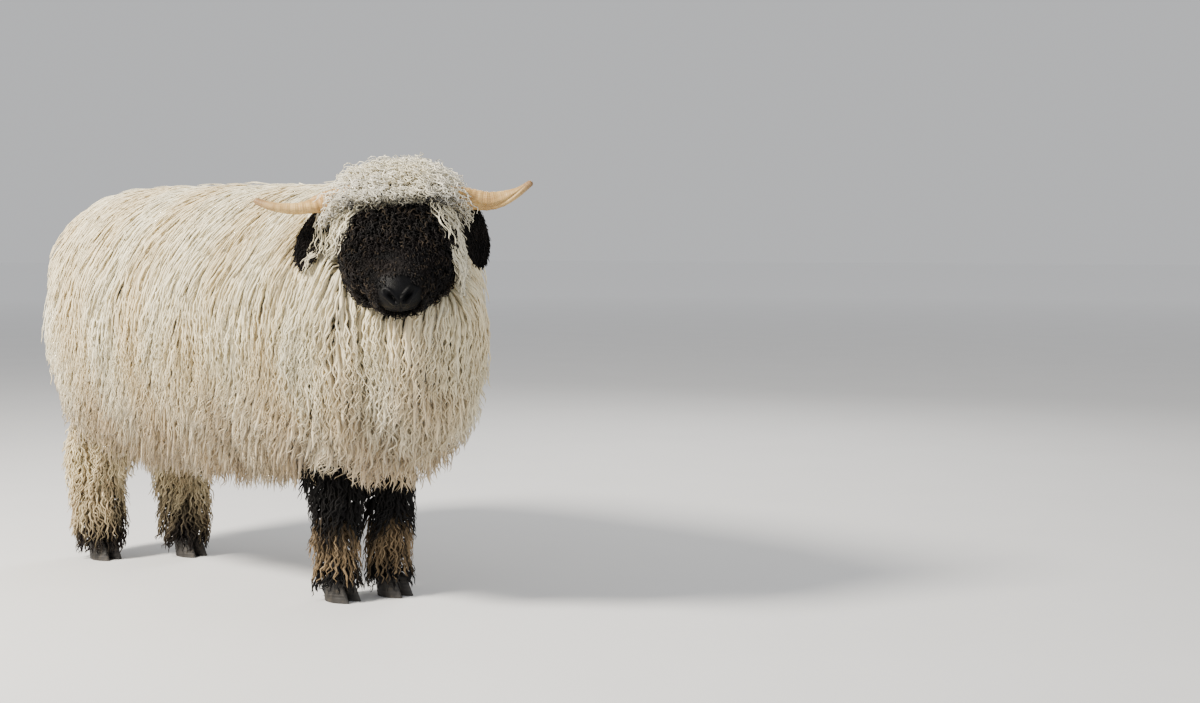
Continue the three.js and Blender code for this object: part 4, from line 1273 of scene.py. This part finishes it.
def face_coat(material, density):
    """Short curly tufts on the black face, smallest towards the muzzle."""
    draw = np.random.default_rng(FACE["seed"])
    bed = head_bed(-FACE_WOOL)
    mouth = mouth_line()

    def muzzle_share(points):
        ahead = -points[:, 1]
        top = smoothstep(0, 40, points[:, 2] + 30) * 26
        return smoothstep(128, 205, ahead + top)

    def apart(points):
        return (FACE["apart"] - 1.2 * muzzle_share(points)) / density

    def allowed(points, _):
        ahead = -points[:, 1]
        bare = (ahead > 221) & (np.abs(points[:, 0]) < 36)
        nose = (ahead > 209) & (points[:, 2] > -34) & (np.abs(points[:, 0]) < 20)
        keep = (behind_edge(points) < 6) & ~bare & ~nose & (on_head(placed(points) * MM) > -0.02)
        for side in (1, -1):
            keep &= np.linalg.norm(points - eye_at(side), axis=1) > 19
        near = np.ones(len(points), bool)
        front = ahead > 140
        near[front] = distance_to_line(points[front], mouth) > 6
        return keep & near

    roots, normals = bed.spread(apart, draw, allowed, int(FACE["tries"] * density ** 2))
    count = len(roots)
    small = muzzle_share(roots)
    under = smoothstep(0.1, -0.7, normals[:, 2])
    reach = (FACE["reach"] + 11 * under) * (1 - 0.72 * small * (1 - 0.5 * under))
    reach *= draw.uniform(0.5, 1.15, count)
    fall = np.stack([roots[:, 0] * 0.006, -np.ones(count), np.full(count, -0.5)], 1)
    fall += draw.normal(0, 0.5, (count, 3))
    stops = [(0.5, 0.12), (0.85, 0.5), (0.95, 1.0), (0.7, 1.5)]
    lines, outs = curl_lines(roots, normals, fall, reach, FACE["sink"], stops)
    width = (FACE["width"] - 1.3 * small) * varied(draw, count, 0.7, 1.3)
    thick = (FACE["thick"] - 0.8 * small) * varied(draw, count, 0.8, 1.2)
    wave = (FACE["wave"] - 4 * small) * varied(draw, count, 0.8, 1.2)
    swing = FACE["swing"] * (1 - 0.7 * small) * varied(draw, count, 0.6, 1.3)
    parts = lock_arrays(lines, outs, width, thick, FACE["rings"], wave, swing, FACE["curl"],
                        draw, begin=0.05)
    at = placed(roots) * MM
    colours = head_colour(at) * varied(draw, count, 0.7, 1.5)[:, None]
    # Painted highlights: a brownish tint on some of the curls stands for glints of light on the black wool
    colours += (BROWN * 0.16)[None] * (draw.random(count) < 0.14)[:, None]
    coat_pieces("face_wool", "black_wool", *from_head(*parts), colours, at, "head", draw.random(count),
                material)


def ear_coat(material, density):
    """Short hair that runs to the tip of each ear."""
    draw = np.random.default_rng(EAR_HAIR["seed"])
    rows = []

    def everywhere(points, _):
        return np.ones(len(points), bool)

    for side in (1, -1):
        roots, normals = scattered(Bed(*ear_surface(side)), EAR_HAIR, everywhere, draw, density)
        count = len(roots)
        along = unit(ear_line(side, np.ones(1))[0] - ear_line(side, np.array([0.35]))[0])
        reach = EAR_HAIR["reach"] * varied(draw, count, 0.5, 1.2)
        fall = along + draw.normal(0, 0.22, (count, 3))
        stops = [(0.5, 0.6), (0.85, 1.6), (0.9, 2.6), (0.55, 3.6)]
        lines, outs = curl_lines(roots, normals, fall, reach, EAR_HAIR["sink"], stops)
        width = EAR_HAIR["width"] * varied(draw, count, 0.7, 1.3)
        parts = lock_arrays(lines, outs, width, width * 0.42, EAR_HAIR["rings"],
                            EAR_HAIR["wave"] * varied(draw, count), EAR_HAIR["swing"] * varied(draw, count),
                            EAR_HAIR["curl"], draw)
        rows.append((*from_head(*parts), placed(roots) * MM, draw.random(count)))
    *parts, at, shades = (np.concatenate(column) for column in zip(*rows))
    coat_pieces("ear_hair", "black_wool", *parts, ear_colour(at), at, "ears", shades, material)


def leg_coat(material, density):
    """Curly wool down the legs to a fringe over each hoof."""
    draw = np.random.default_rng(LEG_WOOL["seed"])
    rows = []
    for name in FEET:
        bed = Bed(*metres(closed(leg_form(name, 0))))

        def allowed(points, normals):
            return (points[:, 2] > 0.046) & (points[:, 2] < 0.36) & (np.abs(normals[:, 2]) < 0.8)

        roots, normals = scattered(bed, LEG_WOOL, allowed, draw, density)
        count = len(roots)
        length = np.minimum(LEG_WOOL["longest"], (roots[:, 2] - 0.008) * 0.86) * varied(draw, count, 0.7, 1.1)
        layer = draw.random(count)
        lift = 0.003 + 0.014 * layer

        def lie(points, out):
            tangle = 0.20 * cloud(points, 0.05, 31)
            return downward(out[:, 0] * 0.1 + tangle, 0.08 + out[:, 1] * 0.1 - tangle)

        lines, outs = drape(bed, roots, normals, length, lie, lift, LEG_WOOL["sink"], 5)
        width = (LEG_WOOL["width"] + 0.0040 * smoothstep(0.5, 0.1, layer)) * varied(draw, count, 0.6, 1.3)
        parts = lock_arrays(lines, outs, width, width * 0.55, LEG_WOOL["rings"],
                            LEG_WOOL["wave"] * varied(draw, count),
                            LEG_WOOL["swing"] * varied(draw, count, 0.5, 1.5), LEG_WOOL["curl"], draw)
        rows.append((*parts, leg_colour(roots, name), roots, draw.random(count)))
    *parts, colours, at, shades = (np.concatenate(column) for column in zip(*rows))
    coat_pieces("leg_wool", "leg_wool", *parts, colours, at, "legs", shades, material)


# Horns, hooves and eyes
def horn_surface(side):
    """A flattened, twisted horn with worn growth rings, in the head's frame (mm)."""
    path = np.array([in_head(HORN["ahead"] + ahead, HORN["height"] + up, side * out)
                     for ahead, up, out in HORN_STOPS[side]])
    count, sides = 200, 48
    shares = np.linspace(0, 1, count)
    centres = catmull(path, shares)
    along = unit(np.gradient(centres, axis=0))
    turned = (np.pi / 2 * smoothstep(*HORN_TURN[side], shares))[:, None]
    flat = in_head(0.79, 0.62) * np.cos(turned) + in_head(-0.62, 0.79) * np.sin(turned)
    flat = unit(flat - along * np.einsum("ij,ij->i", flat, along)[:, None])
    arc = np.concatenate([[0], np.cumsum(np.linalg.norm(np.diff(centres, axis=0), axis=1))])
    worn = smoothstep(0.95, 0.4, shares)
    ridge = 0.6 * worn * (np.sin(TURN * arc / 12 + 1.2 * np.sin(arc / 17)) ** 3)
    ridge += 0.3 * worn * np.sin(TURN * arc / 4.1 + 2 * np.sin(arc / 9))
    tip = np.sqrt(np.clip(1 - np.clip((shares - 0.97) / 0.03, 0, 1) ** 2, 0.001, 1))
    wide = (HORN["half_width"] * (1 - 0.72 * shares ** 1.6) + ridge) * tip
    deep = (HORN["half_depth"] * (1 - 0.65 * shares ** 1.3) + ridge) * tip
    rings = oval_rings(centres, np.cross(flat, along), flat, wide, deep * 0.98, deep * 0.9, sides, 2.2)
    angle = TURN * np.arange(sides) / sides
    off = np.angle(np.exp(1j * (angle[None] - (0.9 + 0.9 * shares[:, None]) * math.pi / 2)))
    crease = 0.30 * np.exp(-(off / 0.24) ** 2) * smoothstep(1.0, 0.7, shares)[:, None]
    rings += (centres[:, None] - rings) * crease[..., None]
    verts, faces = closed(rings)
    around = np.append(np.tile(np.arange(sides) / sides, count), [0.5, 0.5])
    length = np.append(np.repeat(arc, sides), [0, arc[-1]]) * MM
    return verts, faces, around, length, length / (arc[-1] * MM)


def make_horn(word, side, material):
    verts, faces, around, length, share = horn_surface(side)
    obj = new_object(f"horn_{word}_sheath", placed(verts) * MM + SHIFT, faces)
    wrapped = np.sin(math.pi * around)
    set_values(obj, "strand", "FLOAT_VECTOR", np.stack([wrapped, length, np.zeros(len(length))], 1))
    set_values(obj, "along", "FLOAT", share)
    onto_frame(obj, material, "horn", f"horn_{word}")


def claw_surface(name, side):
    """One claw of a cloven hoof: flat below, grooved round by growth, rounded at the hair line (mm)."""
    x, y, _ = FEET[name]
    half, length, height = HOOF["half_width"], HOOF["length"], HOOF["height"]
    angle = TURN * np.arange(40) / 40
    rings = []
    for rise in np.concatenate([[0, 0.03, 0.08], np.linspace(0.14, 0.92, 22), [0.97, 1.0]]):
        tuck = 1 - 0.03 * (rise == 0) - 0.25 * max(0, rise - 0.9) * 10
        groove = 0.35 * math.sin(TURN * rise * 6.3)
        half_length = (length / 2 * (1 - 0.26 * rise) + groove) * tuck
        half_wide = (half / 2 + groove * 0.6 - 0.3) * tuck
        ahead = -np.sin(angle)
        pinch = np.where(ahead < 0, 1, 1 - 0.45 * ahead ** 2)
        px = x + side * (half / 2 + 0.5) + half_wide * np.cos(angle) * pinch
        py = y - 2 - 14 * (1 - rise) - half_length * ahead
        rings.append(np.stack([px, py, np.full(40, rise * height)], 1))
    return closed(np.array(rings))


def make_hoof(name, material):
    shells = [metres(claw_surface(name, side)) for side in (1, -1)]
    obj = joined(f"hoof_{name}_claws", [(verts + SHIFT, faces) for verts, faces in shells])
    onto_frame(obj, material, "hoof", f"hoof_{name}")


def make_eye(word, side, material):
    """A ball with a clear bulge in front, painted with a brown ring and a level slot of a pupil."""
    radius = EYE["radius"] - 0.1
    rows, turns = 40, 64
    polar = math.pi * (np.arange(rows) + 0.5) / rows
    angle = TURN * np.arange(turns) / turns
    axis = unit(np.array([side, -0.30, 0.06]))
    ahead = unit(np.cross(axis, UP)) * side
    over = np.cross(ahead, axis) * side
    over *= np.sign(over[2])
    bulge = 1 + 0.05 * np.exp(-(polar / 0.55) ** 2)
    ring = (np.cos(angle)[None, :, None] * ahead + np.sin(angle)[None, :, None] * over)
    rings = radius * bulge[:, None, None] * (
        np.cos(polar)[:, None, None] * axis + np.sin(polar)[:, None, None] * ring)
    verts, faces = closed(rings)
    out = verts @ axis / radius
    level, high = verts @ ahead / radius, verts @ over / radius
    away = np.hypot(level, high)
    colours = np.tile(SCLERA, (len(verts), 1))
    iris = smoothstep(0.86, 0.80, away) * (out > 0)
    colours = mixed(colours, IRIS, iris)
    colours = mixed(colours, IRIS_RIM, iris * smoothstep(0.62, 0.84, away))
    pupil = smoothstep(1.12, 0.95, np.hypot(level / 0.50, high / 0.17)) * (out > 0)
    colours = mixed(colours, PUPIL, pupil)
    obj = new_object(f"eye_{word}_ball", placed(verts + eye_at(side)) * MM + SHIFT, faces)
    set_values(obj, "tone", "FLOAT_COLOR", opaque(colours))
    strand = np.stack([np.arctan2(high, level) / TURN, away, np.zeros(len(verts))], 1)
    set_values(obj, "strand", "FLOAT_VECTOR", strand)
    onto_frame(obj, material, "eye", f"eye_{word}")


def dress_skin(skin, material):
    """The markings and the smooth leather of the muzzle on the skin, then its place on the frame."""
    verts, _ = triangles_of(skin)
    local = unplaced(verts / MM)
    ahead = -local[:, 1]
    colours = body_colour(verts)
    for name, (x, y, thigh_y) in FEET.items():
        off = np.hypot(verts[:, 0] - x * MM, verts[:, 1] - (y + thigh_y) / 2 * MM)
        mine = (verts[:, 2] < 0.30) & (off < 0.13)
        colours[mine] = leg_colour(verts[mine], name)
    head = (on_head(verts) > -0.012) & (np.linalg.norm(verts - HEAD_AT * MM, axis=1) < 0.32)
    colours[head] = head_colour(verts[head])
    ears = near_ears(verts, 1.12) & (np.abs(local[:, 0]) > 88)
    colours[ears] = ear_colour(verts[ears])
    low_lip = smoothstep(-88, -70, local[:, 2])
    nose = smoothstep(203, 218, ahead + 8 * smoothstep(-30, -8, local[:, 2]))
    leather = nose * low_lip * smoothstep(44, 30, np.abs(local[:, 0])) * head
    for side in (1, -1):
        near = np.linalg.norm(local - eye_at(side), axis=1)
        leather = np.maximum(leather, smoothstep(18.5, 16.0, near) * head)
    set_values(skin, "tone", "FLOAT_COLOR", opaque(colours))
    set_values(skin, "leather", "FLOAT", leather)
    skin.data.transform(Matrix.Translation(Vector(SHIFT)))
    skin.data.materials.clear()
    skin.data.polygons.foreach_set("material_index", np.zeros(len(skin.data.polygons), np.int32))
    onto_frame(skin, material, "fleece", "torso", "neck", "head", "topknot", "tail", "ear_right", "ear_left",
               *(f"leg_{name}" for name in FEET))


# The studio
VIEW_TURN = math.radians(39)
VIEW_RIGHT = np.array([math.sin(VIEW_TURN), -math.cos(VIEW_TURN), 0])
VIEW_AHEAD = np.array([math.cos(VIEW_TURN), math.sin(VIEW_TURN), 0])
FOCAL_PIXELS, FRAME_WIDE, FRAME_HIGH, HORIZON = 1667.0, 1200, 703, 247.0
CAMERA = dict(right=0.703, back=3.43, up=0.685)

# Each light: how far right, back and up (m), its size (m), watts and colour
LIGHTS = {
    "key": (-2.6, -1.8, 3.2, 1.0, 640, (1.0, 0.94, 0.84)),
    "fill": (2.6, -2.6, 1.6, 2.5, 36, (0.92, 0.96, 1.0)),
    "rim": (1.2, 2.8, 2.6, 1.6, 70, (1.0, 0.98, 0.95)),
}
SKY = (0.85, 0.86, 0.88, 1)
SKY_STRENGTH = 0.70
FLOOR_HALF = 60.0
FLOOR_FADE = 20.0


def make_camera():
    data = bpy.data.cameras.new("camera")
    data.sensor_width = 36
    data.lens = FOCAL_PIXELS / FRAME_WIDE * 36
    camera = in_scene("camera", data)
    aside = CAMERA["right"] * VIEW_RIGHT - CAMERA["back"] * VIEW_AHEAD
    camera.location = aside + np.array([0, 0, CAMERA["up"]]) + SHIFT
    pitch = math.atan((FRAME_HIGH / 2 - HORIZON) / FOCAL_PIXELS)
    heading = math.atan2(-VIEW_AHEAD[0], VIEW_AHEAD[1])
    camera.rotation_euler = Euler((math.pi / 2 - pitch, 0, heading))
    bpy.context.scene.camera = camera


def area_light(name, right, back, up, size, watts, colour):
    """A soft light placed by how far right, back and up it is as the camera sees the sheep (m)."""
    target = Vector(SHIFT + np.array([0, 0, 0.45]))
    spot = Vector(SHIFT + right * VIEW_RIGHT + back * VIEW_AHEAD + up * UP)
    data = bpy.data.lights.new(name, "AREA")
    data.shape, data.size = "DISK", size
    data.energy, data.color = watts, colour
    light = in_scene(name, data)
    light.location = spot
    light.rotation_euler = (target - spot).to_track_quat("-Z", "Y").to_euler()


def make_stage():
    n = Nodes("floor")
    away = n.add("ShaderNodeVectorMath", operation="LENGTH")
    n.link(n.place(), away.inputs[0])
    share = n.math("DIVIDE", away.outputs["Value"], FLOOR_FADE)
    # Painted light: the floor is lighter the further it lies from the sheep, so that it fades into the sky
    colour = n.ramp(share, [(0.15, grey(0.62)), (1.0, grey(0.97))])
    colour = n.dulled(0.5, colour, n.noise(n.place(), 3.0), grey(0.95), 0.3, 0.7)
    n.set(Roughness=0.9, Specular_IOR_Level=0.2)
    corners = FLOOR_HALF * np.array([(-1, -1, 0), (1, -1, 0), (1, 1, 0), (-1, 1, 0)])
    floor = new_object("floor", corners + SHIFT, np.array([[0, 1, 2, 3]]))
    floor.data.materials.append(n.finish(colour))
    world = bpy.data.worlds.new("studio")
    world.use_nodes = True
    background = world.node_tree.nodes["Background"]
    background.inputs["Color"].default_value = SKY
    background.inputs["Strength"].default_value = SKY_STRENGTH
    bpy.context.scene.world = world
    for name, settings in LIGHTS.items():
        area_light(name, *settings)


make_camera()
make_stage()
density = 1.0
dress_skin(make_skin(), skin_material())
# The third number of each wool sets how dark its painted shade at the roots is
fleece_wool = wool_material("fleece", 0.14, 0.80, 0.9, 0.35, 0.25)
black_wool = wool_material("black_wool", 0.5, 0.6, 0.75, 0.0, 0.12)
leg_wool = wool_material("leg_wool", 0.3, 0.65, 0.9, 0.0, 0.12)
body_coat(fleece_wool, density)
topknot_coat(fleece_wool, density)
cheek_coat(fleece_wool, density)
face_coat(black_wool, density)
ear_coat(black_wool, density)
leg_coat(leg_wool, density)
horn_sheath, hoof_horn, eye_ball = horn_material(), hoof_material(), eye_material()
for word, side in (("right", -1), ("left", 1)):
    make_horn(word, side, horn_sheath)
    make_eye(word, side, eye_ball)
for name in FEET:
    make_hoof(name, hoof_horn)
